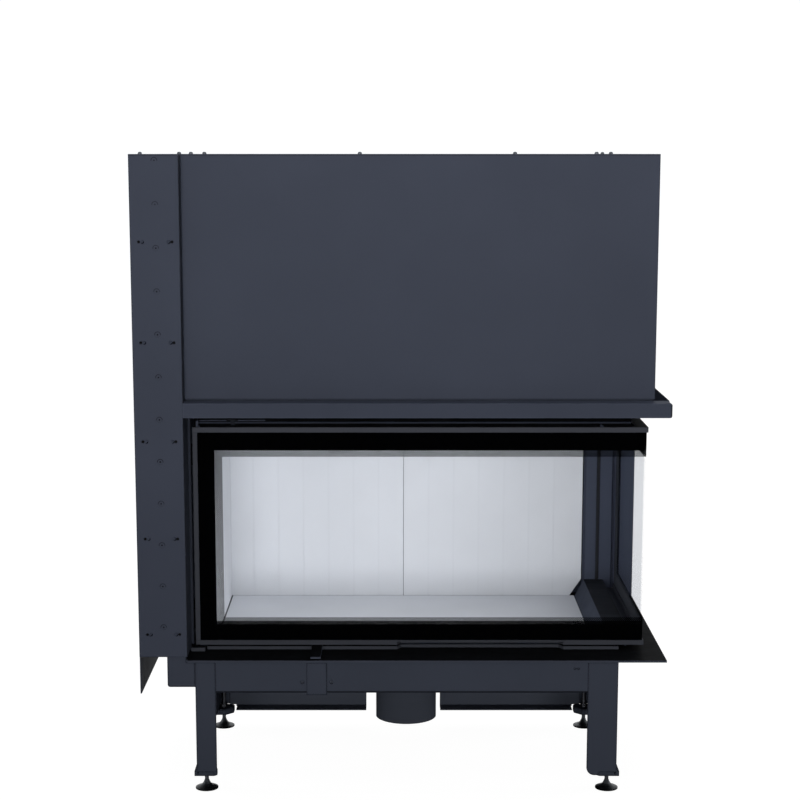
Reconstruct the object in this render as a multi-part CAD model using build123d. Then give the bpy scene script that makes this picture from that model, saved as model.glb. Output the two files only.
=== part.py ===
"""Corner fireplace insert with a lift-up glass door, on a stand with levelling feet.

Millimetres, +Z up, the front faces -Y. The origin is on the floor under the middle of the outline.
Across is X, and every depth is counted from the front face towards the back.
"""
import math
import os

from build123d import *

os.makedirs("parts", exist_ok=True)

# Overall size
overall_width = 1010.0
overall_depth = 620.0
casing_top = 1230.0

# Sheet thicknesses
sheet = 2.5
base_thickness = 4.0
firebox_plate = 4.0
stand_plate = 3.0

# Clearances
slide_gap = 1.0
seal_gap = 0.5
touch_gap = 0.3
hair_gap = 0.2

# Heights from the base up to the casing
base_top = 273.0
door_above_base = 10.0
door_height = 430.0
door_head_room = 77.0
wall_above_door = 22.0
ledge_above_wall = 7.0
ledge_height = 27.5
panel_above_ledge = 3.5

# Casing layout
column_width = 91.5
column_above_base = 7.0
side_panel_drop = 66.0
panel_set_back = 37.0
ledge_overhang = 30.0
ledge_end_inset = 1.8
ledge_corner_radius = 4.0
column_inner_gap = 2.0
top_strip_width = 100.0

# Rear column layout
rear_column_width = 105.5
rear_column_depth = 99.0
groove_left_from_right = 47.4
groove_width = 15.5
strip_joint_width = 7.3
strip_joint_from_left = 24.3
strip_joint_depth = 1.2

# Stand
apron_height = 60.5
apron_face = 3.0
apron_flange = 30.0
left_leg_from_column = 14.0
left_leg_width = 39.0
right_leg_past_column = 13.3
right_leg_width = 57.9
right_leg_corner = 15.0
leg_depth = 45.0
rear_leg_before_column = 48.0
rear_leg_width = 24.0
foot_plate_width = 44.0
foot_plate_bottom = 31.0
foot_plate_height = 12.0
foot_plate_chamfer = 2.0
foot_plate_corner = 5.5
front_plate_cut = 29.0
rear_plate_cut = 16.0
leg_face_above_plate = 5.8
front_left_foot_inset = 14.0
front_right_foot_inset = 12.6
rear_left_foot_inset = 12.7
rear_right_foot_inset = 16.6
front_foot_inset = 51.0
rear_foot_inset = 25.0
lower_plate_from_left = 52.5
lower_plate_height = 49.0
lower_plate_rise = 40.0
lower_plate_corner = 5.0
side_rail_height = 50.0

# Levelling feet
foot_radius = 22.2
foot_rim = 2.2
foot_bell_height = 11.3
foot_neck_radius = 6.0
foot_cone_height = 5.0
stud_radius = 4.0
stud_above_plate = 35.0
foot_nut_radius = 7.5
foot_nut_height = 6.5
foot_flare_shares = ((0.83, 0.12), (0.49, 0.27), (0.3, 0.44), (0.12, 0.69))
hexagon_sides = 6

# Rear skirt
skirt_flange = 32.0
skirt_above_plate = 6.8
skirt_below_base = 68.0
skirt_left_inset = 37.5
skirt_right_inset = 40.4
skirt_cut_left_reach = 85.0
skirt_cut_right_reach = 75.5
skirt_flange_step = 2.5
skirt_tie_height = 60.0
skirt_behind_plate = 1.5

# Door
door_from_column = 8.5
door_inside_casing = 4.7
door_behind_panel = 38.5
door_thickness = 22.0
top_rail_height = 10.2
bottom_rail_height = 9.2
stile_width = 9.2
glass_thickness = 4.0
glass_set_back = 2.0
glass_side_inset = 2.8
rear_stile_width = 7.0
rear_stile_depth = 14.0
rail_wall = 3.0
lip_height = 12.0
lip_thickness = 2.0
grip_left_reach = 8.0
grip_right_reach = 302.0
grip_depth = 14.0
grip_slant = 8.0
grip_slots_from_left = ((34.5, 77.0), (227.5, 272.5))
grip_slot_from_back = 3.0
sill_height = 6.5
sill_left_inset = 22.0
sill_right_inset = 48.0
sill_set_back = 3.0
sill_depth = 16.0
stop_from_door = 8.2
stop_width = 27.2
stop_before_door = 16.0
stop_depth = 12.0
stop_lift = 3.8
stop_height = 4.6
stop_foot_set_back = 4.0

# Firebox
wall_from_column = 9.5
roof_thickness = 4.0
lining_thickness = 25.0
left_lining_thickness = 27.5
lining_behind_column = 4.0
lining_below_door_top = 23.0
lining_right_inset = 6.0
lining_cut_width = 25.0
lining_cut_height = 37.0
rib_pitch = 54.5
rib_width = 2.0
rib_depth = 1.5
rib_margin_share = 0.25
seam_gap = 1.0
hearth_left_inset = 42.5
hearth_right_inset = 20.5
hearth_behind_frame = 19.0
hearth_thickness = 28.0
tray_wall = 3.0
kerb_from_hearth = 0.5
kerb_run = 19.0
kerb_height = 37.0
kerb_sheet = 3.0
seal_width = 8.0
lintel_overlap = 19.0
lintel_lip_height = 3.0
lintel_lip_above_door = 4.0
lintel_lip_reach = 6.0
baffle_thickness = 30.0
baffle_reach = 285.0

# Smoke hood and flue
flue_off_middle = 4.0
flue_off_middle_depth = 4.0
hood_base_width = 560.0
hood_base_depth = 320.0
hood_neck_margin = 15.0
hood_below_top = 170.0
hood_sheet = 3.0
flue_radius = 100.0
flue_wall = 3.0
flue_below_top = 18.0

# Guides, cables, pulleys and counterweights
cable_radius = 1.5
pulley_pitch_radius = 25.0
pulley_rim = 4.0
pulley_width = 12.0
pulley_below_top = 50.0
axle_radius = 5.0
carriage_thickness = 5.0
carriage_below_door_top = 23.0
carriage_above_door_bottom = 17.0
left_cable_behind_door_face = 42.0
left_carriage_behind_door_face = 10.0
left_carriage_depth = 44.0
left_lug_height = 40.0
left_lug_inset = 12.0
left_lug_depth = 11.0
left_carriage_gap = 13.0
rear_cable_off_middle = 1.15
rear_carriage_from_back = 20.0
guide_above_door_bottom = 7.0
guide_end_margin = 10.0
left_weight_gap = 5.0
left_weight_depth = 100.0
left_weight_height = 140.0
rear_weight_width = 78.0
rear_weight_gap = 11.65
rear_weight_height = 240.0
weight_below_top = 100.0
weight_chamfer = 4.0
bracket_width = 36.0
bracket_drop = 14.0
bracket_side_gap = 2.0

# Combustion air
spigot_before_middle = 30.0
spigot_radius = 62.5
spigot_wall = 2.0
spigot_length = 133.0
spigot_flange = 14.0
air_box_left_reach = 198.0
air_box_right_reach = 92.0
air_box_before_hearth = 27.0
air_box_behind_spigot = 104.0
air_box_height = 37.0
air_box_sheet = 2.0
air_slot_from_box = 13.0
air_slot_width = 8.0
air_slot_half_length = 90.0
lever_from_spigot = 185.8
lever_width = 19.2
lever_thickness = 4.0
lever_lift = 2.8
lever_tip = 2.0
lever_tongue_before_box = 8.0
lever_tongue_thickness = 4.0
lever_travel = 50.0
damper_side = 150.0
damper_thickness = 3.0
damper_lift = 0.3
damper_arm_width = 25.0
cover_left_overlap = 8.2
cover_right_overlap = 12.2
cover_below_apron = 4.0

# Screws, bolts and pressed marks
screw_radius = 3.6
screw_head = 2.2
screw_rows = 5
screw_above_panel_bottom = 44.5
screw_below_top = 159.9
screw_left_inset = 22.4
screw_right_inset = 20.0
screw_hole_radius = 2.6
screw_hole_offset = 6.3
screw_hole_depth = 1.6
dimple_above_panel_bottom = 58.6
dimple_below_top = 171.4
dimple_count = 10
dimple_radius = 5.0
dimple_depth = 0.5
dimple_pin_radius = 1.4
dimple_pin_depth = 1.2
dimple_from_left = 47.5
apron_hole_radius = 3.2
apron_hole_rise = 21.0
apron_hole_left_gap = 8.2
apron_hole_right_gap = 8.5
apron_pair_radius = 1.9
apron_pair_drop = 12.5
apron_pair_insets = (25.5, 18.7)
bolt_radius = 4.0
bolt_head = 4.0
bolt_rounding = 2.5
column_bolt_left_inset = 20.0
column_bolt_front_inset = 15.0
column_bolt_right_inset = 4.5
column_bolt_behind_face = 60.0
front_bolt_set_back = 18.0
front_bolt_left_insets = (18.0, 43.0)
front_bolt_right_insets = (116.5, 90.0)
bolt_middle_shares = (0.3736, 0.6983)
side_bolt_inset = 47.9
side_bolt_from_back = 60.0

# Derived places across
left_edge = -overall_width / 2
right_edge = overall_width / 2
column_right = left_edge + column_width
casing_right = right_edge - ledge_overhang
ledge_end = right_edge - ledge_end_inset
rear_column_left = right_edge - rear_column_width
groove_left = right_edge - groove_left_from_right
left_leg_left = column_right + left_leg_from_column
lower_plate_left = left_edge + lower_plate_from_left
right_leg_right = rear_column_left + right_leg_past_column
right_leg_left = right_leg_right - right_leg_width
front_left_foot_x = left_leg_left + front_left_foot_inset
front_right_foot_x = right_leg_right - front_right_foot_inset
rear_left_foot_x = left_leg_left + rear_left_foot_inset
rear_right_foot_x = right_leg_right - rear_right_foot_inset
door_left = column_right + door_from_column
door_right = casing_right - door_inside_casing
door_inside_x = door_right - door_thickness
glass_right = door_right - glass_side_inset
wall_left = column_right + wall_from_column
wall_inside_x = wall_left + firebox_plate
hearth_left = column_right + hearth_left_inset
hearth_right = rear_column_left - hearth_right_inset
middle_x = (hearth_left + hearth_right) / 2
lining_right = rear_column_left - lining_right_inset
kerb_foot = hearth_right + kerb_from_hearth
kerb_top_x = kerb_foot + kerb_run
kerb_shelf_right = door_inside_x - seal_width
hood_centre_x = middle_x + flue_off_middle
hood_neck_side = 2 * (flue_radius + hood_neck_margin)
spigot_x = hood_centre_x
grip_left = middle_x - grip_left_reach
grip_right = middle_x + grip_right_reach
stop_left = door_left - stop_from_door
carriage_x = door_left - left_carriage_gap - carriage_thickness
left_cable_x = carriage_x + carriage_thickness / 2
left_pulley_x = left_cable_x - pulley_pitch_radius
left_weight_x = left_cable_x - 2 * pulley_pitch_radius
left_weight_width = 2 * (left_weight_x - left_edge - sheet - left_weight_gap)
rear_carriage_x = door_right - rear_stile_width + touch_gap
rear_cable_x = rear_carriage_x + carriage_thickness / 2
rear_pulley_x = rear_cable_x - pulley_pitch_radius
rear_weight_x = rear_cable_x - 2 * pulley_pitch_radius
lever_left = spigot_x - lever_from_spigot
lever_right = lever_left + lever_width
cover_left = lever_left - cover_left_overlap
cover_right = lever_right + cover_right_overlap
apron_hole_xs = (cover_left - apron_hole_left_gap, cover_right + apron_hole_right_gap)
apron_pair_xs = [right_leg_left - inset for inset in apron_pair_insets]
air_box_left = spigot_x - air_box_left_reach
air_box_right = spigot_x + air_box_right_reach
skirt_outer_left = left_leg_left + skirt_left_inset
skirt_outer_right = right_leg_right - skirt_right_inset
skirt_cut_left = spigot_x - skirt_cut_left_reach
skirt_cut_right = spigot_x + skirt_cut_right_reach

# Derived depths
middle_depth = (overall_depth - screw_head) / 2
casing_back = overall_depth - sheet
panel_back = panel_set_back + sheet
door_face = panel_back + door_behind_panel
door_back = door_face + door_thickness
glass_front_face = door_face + glass_set_back
column_inner_depth = door_face - column_inner_gap
sill_frame_face = door_back + seal_width
hearth_front = sill_frame_face + hearth_behind_frame
rear_column_face = overall_depth - rear_column_depth
door_end = rear_column_face - 2 * slide_gap
lining_face = rear_column_face + lining_behind_column
wall_back = lining_face + lining_thickness + hair_gap
rear_leg_back = rear_column_face - rear_leg_before_column
skirt_face = rear_leg_back - stand_plate
foot_front_depth = apron_face + front_foot_inset
front_leg_back = apron_face + leg_depth + foot_plate_width / 2
foot_rear_depth = rear_leg_back - rear_foot_inset
middle_hearth_depth = (hearth_front + lining_face) / 2
hood_centre_depth = middle_hearth_depth + flue_off_middle_depth
spigot_depth = middle_hearth_depth - spigot_before_middle
baffle_front = lining_face - baffle_reach
stop_face = door_face - stop_before_door
left_cable_depth = door_face + left_cable_behind_door_face
left_carriage_front = door_face + left_carriage_behind_door_face
rear_carriage_back = overall_depth - rear_carriage_from_back
rear_cable_depth = (wall_back + firebox_plate + casing_back) / 2 + rear_cable_off_middle
rear_weight_depth = casing_back - wall_back - firebox_plate - 2 * rear_weight_gap
air_box_front = hearth_front - air_box_before_hearth
air_box_back = spigot_depth + air_box_behind_spigot
air_slot_front = air_box_front + air_slot_from_box
lever_tongue_front = air_box_front - lever_tongue_before_box

# Derived heights
top_under = casing_top - sheet
base_bottom = base_top - base_thickness
column_front_bottom = base_top + column_above_base
side_panel_bottom = base_top - side_panel_drop
apron_bottom = base_bottom - apron_height
lower_plate_bottom = base_bottom - lower_plate_height
cover_bottom = apron_bottom - cover_below_apron
foot_plate_top = foot_plate_bottom + foot_plate_height
leg_face_bottom = foot_plate_top + leg_face_above_plate
stud_top = foot_plate_top + stud_above_plate
skirt_bottom = foot_plate_bottom + skirt_above_plate
skirt_top = base_top - skirt_below_base
tray_bottom = base_top - hearth_thickness - tray_wall
air_box_bottom = tray_bottom - air_box_height
spigot_bottom = air_box_bottom - spigot_length
damper_bottom = air_box_bottom + air_box_sheet + damper_lift
apron_hole_height = apron_bottom + apron_hole_rise
apron_pair_height = base_bottom - apron_pair_drop
door_bottom = base_top + door_above_base
door_top = door_bottom + door_height
door_travel = casing_top - door_head_room - door_top
glass_bottom = door_bottom + bottom_rail_height
glass_top = door_top - top_rail_height
kerb_top = base_top + kerb_height
lining_top = door_top - lining_below_door_top
lintel_bottom = door_top - lintel_overlap
lintel_lip_bottom = door_top + lintel_lip_above_door
wall_top = door_top + wall_above_door
ledge_bottom = wall_top + ledge_above_wall
ledge_top = ledge_bottom + ledge_height
panel_bottom = ledge_top + panel_above_ledge
hood_top = casing_top - hood_below_top
flue_top = casing_top - flue_below_top
pulley_height = casing_top - pulley_below_top
weight_top = casing_top - weight_below_top
carriage_top = door_top - carriage_below_door_top
carriage_bottom = door_bottom + carriage_above_door_bottom
guide_bottom = door_bottom + guide_above_door_bottom
guide_top = carriage_top + door_travel + guide_end_margin
screw_first = column_front_bottom + screw_above_panel_bottom
screw_row_pitch = (casing_top - screw_below_top - screw_first) / (screw_rows - 1)
dimple_first = column_front_bottom + dimple_above_panel_bottom
dimple_pitch = (casing_top - dimple_below_top - dimple_first) / (dimple_count - 1)


def block(x0, x1, d0, d1, z0, z1):
    """A box between two X values, two depths from the front face and two heights."""
    centre = Pos((x0 + x1) / 2, (d0 + d1) / 2 - middle_depth, (z0 + z1) / 2)
    return centre * Box(x1 - x0, d1 - d0, z1 - z0)


def place(x, d, z):
    """A location at a depth counted from the front face."""
    return Pos(x, d - middle_depth, z)


def rod_z(x, d, z0, z1, radius):
    return place(x, d, (z0 + z1) / 2) * Cylinder(radius, z1 - z0)


def rod_y(x, d0, d1, z, radius):
    return place(x, (d0 + d1) / 2, z) * Rot(90, 0, 0) * Cylinder(radius, d1 - d0)


def prism_y(points, d0, d1):
    """X and height points drawn out along the depth."""
    outline = Polyline(*[(x, d0 - middle_depth, z) for x, z in points], close=True)
    return extrude(make_face(outline), amount=d1 - d0, dir=(0, 1, 0))


def group(solids):
    """Several loose solids kept in one node."""
    return Compound(children=list(solids))


def save(name, shape):
    export_step(shape, "parts/" + name + ".step")


def screw_places():
    """Across, hole across and height of each screw on the column's front panel."""
    left_x = left_edge + screw_left_inset
    right_x = column_right - screw_right_inset
    pairs = ((left_x, left_x - screw_hole_offset), (right_x, right_x + screw_hole_offset))
    heights = [screw_first + screw_row_pitch * i for i in range(screw_rows)]
    return [(x, hole_x, z) for z in heights for x, hole_x in pairs]


# Casing
def column_front_panel():
    panel = block(left_edge, column_right, 0, sheet, column_front_bottom, top_under)
    for x, hole_x, z in screw_places():
        panel -= rod_y(hole_x, -sheet, screw_hole_depth, z, screw_hole_radius)
    for i in range(dimple_count):
        z = dimple_first + dimple_pitch * i
        panel -= rod_y(left_edge + dimple_from_left, -sheet, dimple_depth, z, dimple_radius)
        panel -= rod_y(left_edge + dimple_from_left, -sheet, dimple_pin_depth, z, dimple_pin_radius)
    return panel


def left_side_panel():
    return block(left_edge, left_edge + sheet, sheet, casing_back, side_panel_bottom, top_under)


def column_inner_panel():
    return block(column_right - sheet, column_right, sheet, column_inner_depth, column_front_bottom, top_under)


def upper_front_panel():
    d0 = panel_set_back
    return block(column_right, casing_right, d0, d0 + sheet, panel_bottom, top_under)


def upper_right_panel():
    x0 = casing_right - sheet
    return block(x0, casing_right, panel_back, casing_back, panel_bottom, top_under)


def rear_panel():
    return block(left_edge, casing_right, casing_back, overall_depth, side_panel_bottom, top_under)


def ledge_front():
    body = block(column_right, ledge_end, 0, panel_back, ledge_bottom, ledge_top)
    body = fillet(body.edges().filter_by(Axis.Y).group_by(Axis.X)[-1], ledge_corner_radius)
    body = body - block(
        column_right - sheet,
        ledge_end - sheet,
        sheet,
        panel_set_back + 2 * sheet,
        ledge_bottom + sheet,
        ledge_top - sheet,
    )
    return body


def ledge_right():
    d0 = panel_back
    outer = block(casing_right - sheet, ledge_end, d0, casing_back, ledge_bottom, ledge_top)
    inner = block(
        casing_right - 2 * sheet,
        ledge_end - sheet,
        d0 - sheet,
        overall_depth,
        ledge_bottom + sheet,
        ledge_top - sheet,
    )
    return outer - inner


def top_plates():
    z0 = top_under
    column = block(left_edge, column_right, 0, overall_depth, z0, casing_top)
    front_end = panel_set_back + top_strip_width
    rear_start = overall_depth - top_strip_width
    front = block(column_right, casing_right, panel_set_back, front_end, z0, casing_top)
    rear = block(column_right, casing_right, rear_start, overall_depth, z0, casing_top)
    right = block(casing_right - top_strip_width, casing_right, front_end, rear_start, z0, casing_top)
    return group([column, front, rear, right])


def rear_column_strip():
    strip = block(rear_column_left, groove_left, rear_column_face, rear_column_face + sheet, base_top, top_under)
    x0 = rear_column_left + strip_joint_from_left
    return strip - block(
        x0,
        x0 + strip_joint_width,
        0,
        rear_column_face + strip_joint_depth,
        0,
        casing_top,
    )


def rear_column_cover():
    x0 = groove_left + groove_width
    z0 = base_bottom
    z1 = ledge_bottom
    front = block(x0, right_edge, rear_column_face, rear_column_face + sheet, z0, z1)
    side = block(right_edge - sheet, right_edge, rear_column_face, overall_depth, z0, z1)
    back = block(casing_right, right_edge, casing_back, overall_depth, z0, z1)
    return front + side + back


# Base and stand
def base_plate():
    plate = block(column_right, rear_column_left, 0, wall_back + firebox_plate, base_bottom, base_top)
    plate += block(rear_column_left, right_edge, 0, rear_column_face, base_bottom, base_top)
    plate += block(lower_plate_left, column_right, 2 * sheet, rear_column_face, base_bottom, base_top)
    hearth = block(hearth_left, hearth_right, hearth_front, lining_face, 0, casing_top)
    lever_slot = block(
        lever_left - slide_gap,
        lever_right + slide_gap,
        lever_tongue_front - lever_travel - 2 * slide_gap,
        lever_tongue_front + lever_tongue_thickness + 2 * slide_gap,
        0,
        casing_top,
    )
    air_slot = block(
        spigot_x - air_slot_half_length,
        spigot_x + air_slot_half_length,
        air_slot_front,
        air_slot_front + air_slot_width,
        0,
        casing_top,
    )
    return plate - hearth - lever_slot - air_slot


def foot_plate(x, d, inward, onward, cut):
    """Plate over a levelling foot. Its corner towards the stand's middle is cut off.

    inward and onward are 1 or -1 and say on which side the middle lies, across and in depth.
    """
    half = foot_plate_width / 2
    low = half - foot_plate_corner
    high = half - cut
    corners = [(-half, -half), (low, -half), (half, -low), (half, high), (high, half), (-half, half)]
    points = [(x + inward * a, d + onward * b - middle_depth, foot_plate_bottom) for a, b in corners]
    outline = make_face(Polyline(*points, close=True))
    plate = extrude(outline, amount=foot_plate_height, dir=(0, 0, 1))
    plate = chamfer(plate.edges().group_by(Axis.Z)[-1], foot_plate_chamfer)
    return plate - rod_z(x, d, 0, casing_top, stud_radius + touch_gap)


def leg_face(x0, x1, d, z):
    return block(x0, x1, d, d + stand_plate, z, base_bottom)


def leg_side(x0, d0, d1):
    return block(x0, x0 + stand_plate, d0, d1, foot_plate_top, base_bottom)


def front_left_leg():
    x0 = left_leg_left
    leg = leg_face(x0, x0 + left_leg_width, apron_face, leg_face_bottom)
    leg += leg_side(x0, apron_face + stand_plate, front_leg_back)
    return leg + foot_plate(front_left_foot_x, foot_front_depth, 1, 1, front_plate_cut)


def front_right_leg():
    """Its face reaches lower beside the foot plate than in front of it."""
    x0 = right_leg_left
    x1 = right_leg_right
    face = leg_face(x0, x1, apron_face, foot_plate_top)
    corner = face.edges().filter_by(Axis.Y).group_by(Axis.Z)[0].sort_by(Axis.X)[0]
    face = fillet(corner, right_leg_corner)
    notch_left = front_right_foot_x - foot_plate_width / 2
    face -= block(notch_left, right_edge, 0, foot_front_depth, 0, leg_face_bottom)
    leg = face + leg_side(x1 - stand_plate, apron_face + stand_plate, front_leg_back)
    return leg + foot_plate(front_right_foot_x, foot_front_depth, -1, 1, front_plate_cut)


def rear_legs():
    d0 = rear_leg_back - 2 * foot_plate_width
    d1 = rear_leg_back - stand_plate
    x0 = left_leg_left
    x1 = right_leg_right
    left = leg_face(x0, x0 + rear_leg_width, d1, foot_plate_top) + leg_side(x0, d0, d1)
    right = leg_face(x1 - rear_leg_width, x1, d1, foot_plate_top) + leg_side(x1 - stand_plate, d0, d1)
    left += foot_plate(rear_left_foot_x, foot_rear_depth, 1, -1, rear_plate_cut)
    right += foot_plate(rear_right_foot_x, foot_rear_depth, -1, -1, rear_plate_cut)
    return group([left, right])


def front_apron():
    x0 = left_leg_left + left_leg_width
    x1 = right_leg_left
    web = block(x0, x1, apron_face, apron_face + stand_plate, apron_bottom, base_bottom)
    d1 = apron_face + apron_flange
    low = block(x0, x1, apron_face, d1, apron_bottom, apron_bottom + stand_plate)
    top = block(x0, x1, apron_face, d1, base_bottom - stand_plate, base_bottom)
    apron = web + low + top
    for x in apron_hole_xs:
        apron -= rod_y(x, 0, 2 * apron_face + stand_plate, apron_hole_height, apron_hole_radius)
    for x in apron_pair_xs:
        apron -= rod_y(x, 0, 2 * apron_face + stand_plate, apron_pair_height, apron_pair_radius)
    return apron


def stand_side_rails():
    d0 = front_leg_back
    d1 = rear_leg_back - 2 * foot_plate_width
    z0 = base_bottom - side_rail_height
    x0 = left_leg_left
    x1 = right_leg_right
    left = block(x0, x0 + stand_plate, d0, d1, z0, base_bottom)
    right = block(x1 - stand_plate, x1, d0, d1, z0, base_bottom)
    return group([left, right])


def rear_skirt():
    """Upright sheet between the rear legs with a cut-out for the air duct and a flange along its foot."""
    d1 = skirt_face + sheet
    d0 = skirt_face - skirt_flange
    z1 = foot_plate_top - skirt_behind_plate
    flange_top = skirt_bottom + sheet
    leg_left = left_leg_left + rear_leg_width
    leg_right = right_leg_right - rear_leg_width
    skirt = block(leg_left, leg_right, skirt_face, d1, skirt_top - skirt_tie_height, skirt_top)
    skirt += block(leg_left, skirt_cut_left, skirt_face, d1, z1, skirt_top)
    skirt += block(skirt_cut_right, leg_right, skirt_face, d1, z1, skirt_top)
    skirt += block(skirt_outer_left, skirt_cut_left, skirt_face, d1, skirt_bottom, z1)
    skirt += block(skirt_cut_right, skirt_outer_right, skirt_face, d1, skirt_bottom, z1)
    skirt += block(skirt_outer_left + skirt_flange_step, skirt_cut_left, d0, skirt_face, skirt_bottom, flange_top)
    skirt += block(skirt_cut_right, skirt_outer_right - skirt_flange_step, d0, skirt_face, skirt_bottom, flange_top)
    return skirt


def left_lower_plate():
    d0 = sheet
    d1 = 2 * sheet
    x1 = left_leg_left
    plate = block(lower_plate_left, x1, d0, d1, lower_plate_bottom, base_bottom)
    corner = plate.edges().filter_by(Axis.Y).group_by(Axis.Z)[0].sort_by(Axis.X)[0]
    plate = fillet(corner, lower_plate_corner)
    rise = block(
        lower_plate_left,
        column_right - sheet,
        d0,
        d1,
        base_bottom,
        base_top + lower_plate_rise,
    )
    return plate + rise


def lever_cover():
    return block(cover_left, cover_right, apron_face - sheet, apron_face, cover_bottom, base_bottom)


# Levelling feet
def levelling_foot(x, d):
    """Bell-shaped foot with its stud and the nut on top of the foot plate."""
    flare = foot_radius - foot_neck_radius
    neck = foot_rim + foot_bell_height
    profile = [(0, 0), (foot_radius, 0), (foot_radius, foot_rim)]
    for out, up in foot_flare_shares:
        profile.append((foot_neck_radius + flare * out, foot_rim + foot_bell_height * up))
    profile.append((foot_neck_radius, neck))
    profile.append((stud_radius, neck + foot_cone_height))
    profile.append((stud_radius, stud_top))
    profile.append((0, stud_top))
    outline = Polyline(*[(r, 0, z) for r, z in profile], close=True)
    foot = revolve(make_face(outline), Axis.Z)
    nut = extrude(RegularPolygon(foot_nut_radius, hexagon_sides), foot_nut_height)
    nut = Pos(0, 0, foot_plate_top + touch_gap) * nut
    return place(x, d, 0) * (foot + nut)


# Firebox
def firebox_tray():
    x0 = hearth_left - tray_wall
    x1 = hearth_right + tray_wall
    d0 = hearth_front - tray_wall
    d1 = lining_face + tray_wall
    outer = block(x0, x1, d0, d1, tray_bottom, base_bottom)
    inner = block(
        hearth_left,
        hearth_right,
        hearth_front,
        lining_face,
        tray_bottom + tray_wall,
        casing_top,
    )
    return outer - inner


def hearth_slab():
    return block(
        hearth_left + slide_gap,
        hearth_right - slide_gap,
        hearth_front + slide_gap,
        lining_face - slide_gap,
        tray_bottom + tray_wall,
        base_top,
    )


def firebox_left_wall():
    return block(wall_left, wall_inside_x, sill_frame_face, wall_back, base_top, wall_top)


def firebox_rear_wall():
    d1 = wall_back + firebox_plate
    back = block(wall_left, rear_column_left, wall_back, d1, base_top, wall_top)
    fold = block(
        rear_column_left - firebox_plate,
        rear_column_left,
        rear_column_face,
        d1,
        base_top,
        wall_top,
    )
    return back + fold


def firebox_roof():
    plate = block(
        wall_left,
        door_inside_x - 2 * firebox_plate,
        sill_frame_face,
        wall_back + firebox_plate,
        wall_top,
        wall_top + roof_thickness,
    )
    plate -= block(
        rear_column_left,
        right_edge,
        rear_column_face,
        overall_depth,
        0,
        casing_top,
    )
    mouth = block(
        hood_centre_x - hood_base_width / 2 + hood_sheet,
        hood_centre_x + hood_base_width / 2 - hood_sheet,
        hood_centre_depth - hood_base_depth / 2 + hood_sheet,
        hood_centre_depth + hood_base_depth / 2 - hood_sheet,
        0,
        casing_top,
    )
    return plate - mouth


def pyramid(width, deep, neck, z0, z1):
    low = place(hood_centre_x, hood_centre_depth, z0) * Rectangle(width, deep)
    high = place(hood_centre_x, hood_centre_depth, z1) * Rectangle(neck, neck)
    return loft([low, high])


def smoke_hood():
    z0 = wall_top + roof_thickness
    outer = pyramid(hood_base_width, hood_base_depth, hood_neck_side, z0, hood_top)
    thick = 2 * hood_sheet
    inner = pyramid(
        hood_base_width - thick,
        hood_base_depth - thick,
        hood_neck_side - thick,
        z0,
        hood_top,
    )
    return outer - inner


def flue_collar():
    x = hood_centre_x
    d = hood_centre_depth
    half = hood_neck_side / 2
    plate = block(x - half, x + half, d - half, d + half, hood_top, hood_top + hood_sheet)
    collar = plate + rod_z(x, d, hood_top, flue_top, flue_radius)
    return collar - rod_z(x, d, hood_top - hood_sheet, casing_top, flue_radius - flue_wall)


def baffle_plate():
    return block(
        wall_inside_x + slide_gap,
        lining_right,
        baffle_front,
        wall_back - slide_gap,
        lining_top,
        lining_top + baffle_thickness,
    )


def rear_lining(x0, x1):
    d1 = lining_face + lining_thickness
    slab = block(x0, x1, lining_face, d1, base_top, lining_top)
    count = math.ceil(overall_width / rib_pitch)
    rib_margin = rib_pitch * rib_margin_share
    for i in range(-count, count):
        x = middle_x + rib_pitch * i
        if x0 + rib_margin < x < x1 - rib_margin:
            slab -= block(
                x - rib_width / 2,
                x + rib_width / 2,
                0,
                lining_face + rib_depth,
                0,
                casing_top,
            )
    return slab


def rear_lining_left():
    return rear_lining(wall_inside_x + slide_gap, middle_x - seam_gap / 2)


def rear_lining_right():
    slab = rear_lining(middle_x + seam_gap / 2, lining_right)
    cut = prism_y(
        [
            (lining_right - lining_cut_width, 0),
            (lining_right - lining_cut_width, base_top),
            (lining_right, base_top + lining_cut_height),
            (right_edge, base_top + lining_cut_height),
            (right_edge, 0),
        ],
        lining_face - sheet,
        overall_depth,
    )
    return slab - cut


def left_lining():
    return block(
        wall_inside_x,
        wall_inside_x + left_lining_thickness,
        sill_frame_face + firebox_plate,
        lining_face - slide_gap,
        base_top,
        lining_top,
    )


def side_kerb():
    """Sloped steel strip beside the hearth, its shelf and its leg down to the base plate."""
    d0 = sill_frame_face
    d1 = rear_column_face
    slope = prism_y(
        [
            (kerb_foot, base_top),
            (kerb_top_x, kerb_top),
            (kerb_top_x + kerb_sheet, kerb_top),
            (kerb_top_x + kerb_sheet, kerb_top - kerb_sheet),
            (kerb_foot + kerb_sheet, base_top),
        ],
        d0,
        d1,
    )
    shelf = block(kerb_top_x, kerb_shelf_right, d0, d1, kerb_top - kerb_sheet, kerb_top)
    leg = block(kerb_shelf_right - kerb_sheet, kerb_shelf_right, d0, d1, base_top, kerb_top)
    front_left = wall_inside_x
    front = prism_y(
        [
            (front_left, base_top),
            (kerb_foot + kerb_sheet, base_top),
            (kerb_top_x + kerb_sheet, kerb_top),
            (front_left, kerb_top),
        ],
        d0,
        d0 + kerb_sheet,
    )
    return slope + shelf + leg + front


def door_lintel():
    """Front and side lintels that the raised edge of the door closes against."""
    x0 = wall_inside_x
    x1 = kerb_shelf_right
    front = block(x0, x1, sill_frame_face, sill_frame_face + kerb_sheet, lintel_bottom, wall_top)
    side = block(x1 - kerb_sheet, x1, sill_frame_face, rear_column_face, lintel_bottom, wall_top)
    lip = block(
        x0,
        x1,
        sill_frame_face - lintel_lip_reach,
        sill_frame_face,
        lintel_lip_bottom,
        lintel_lip_bottom + lintel_lip_height,
    )
    return front + side + lip


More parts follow.
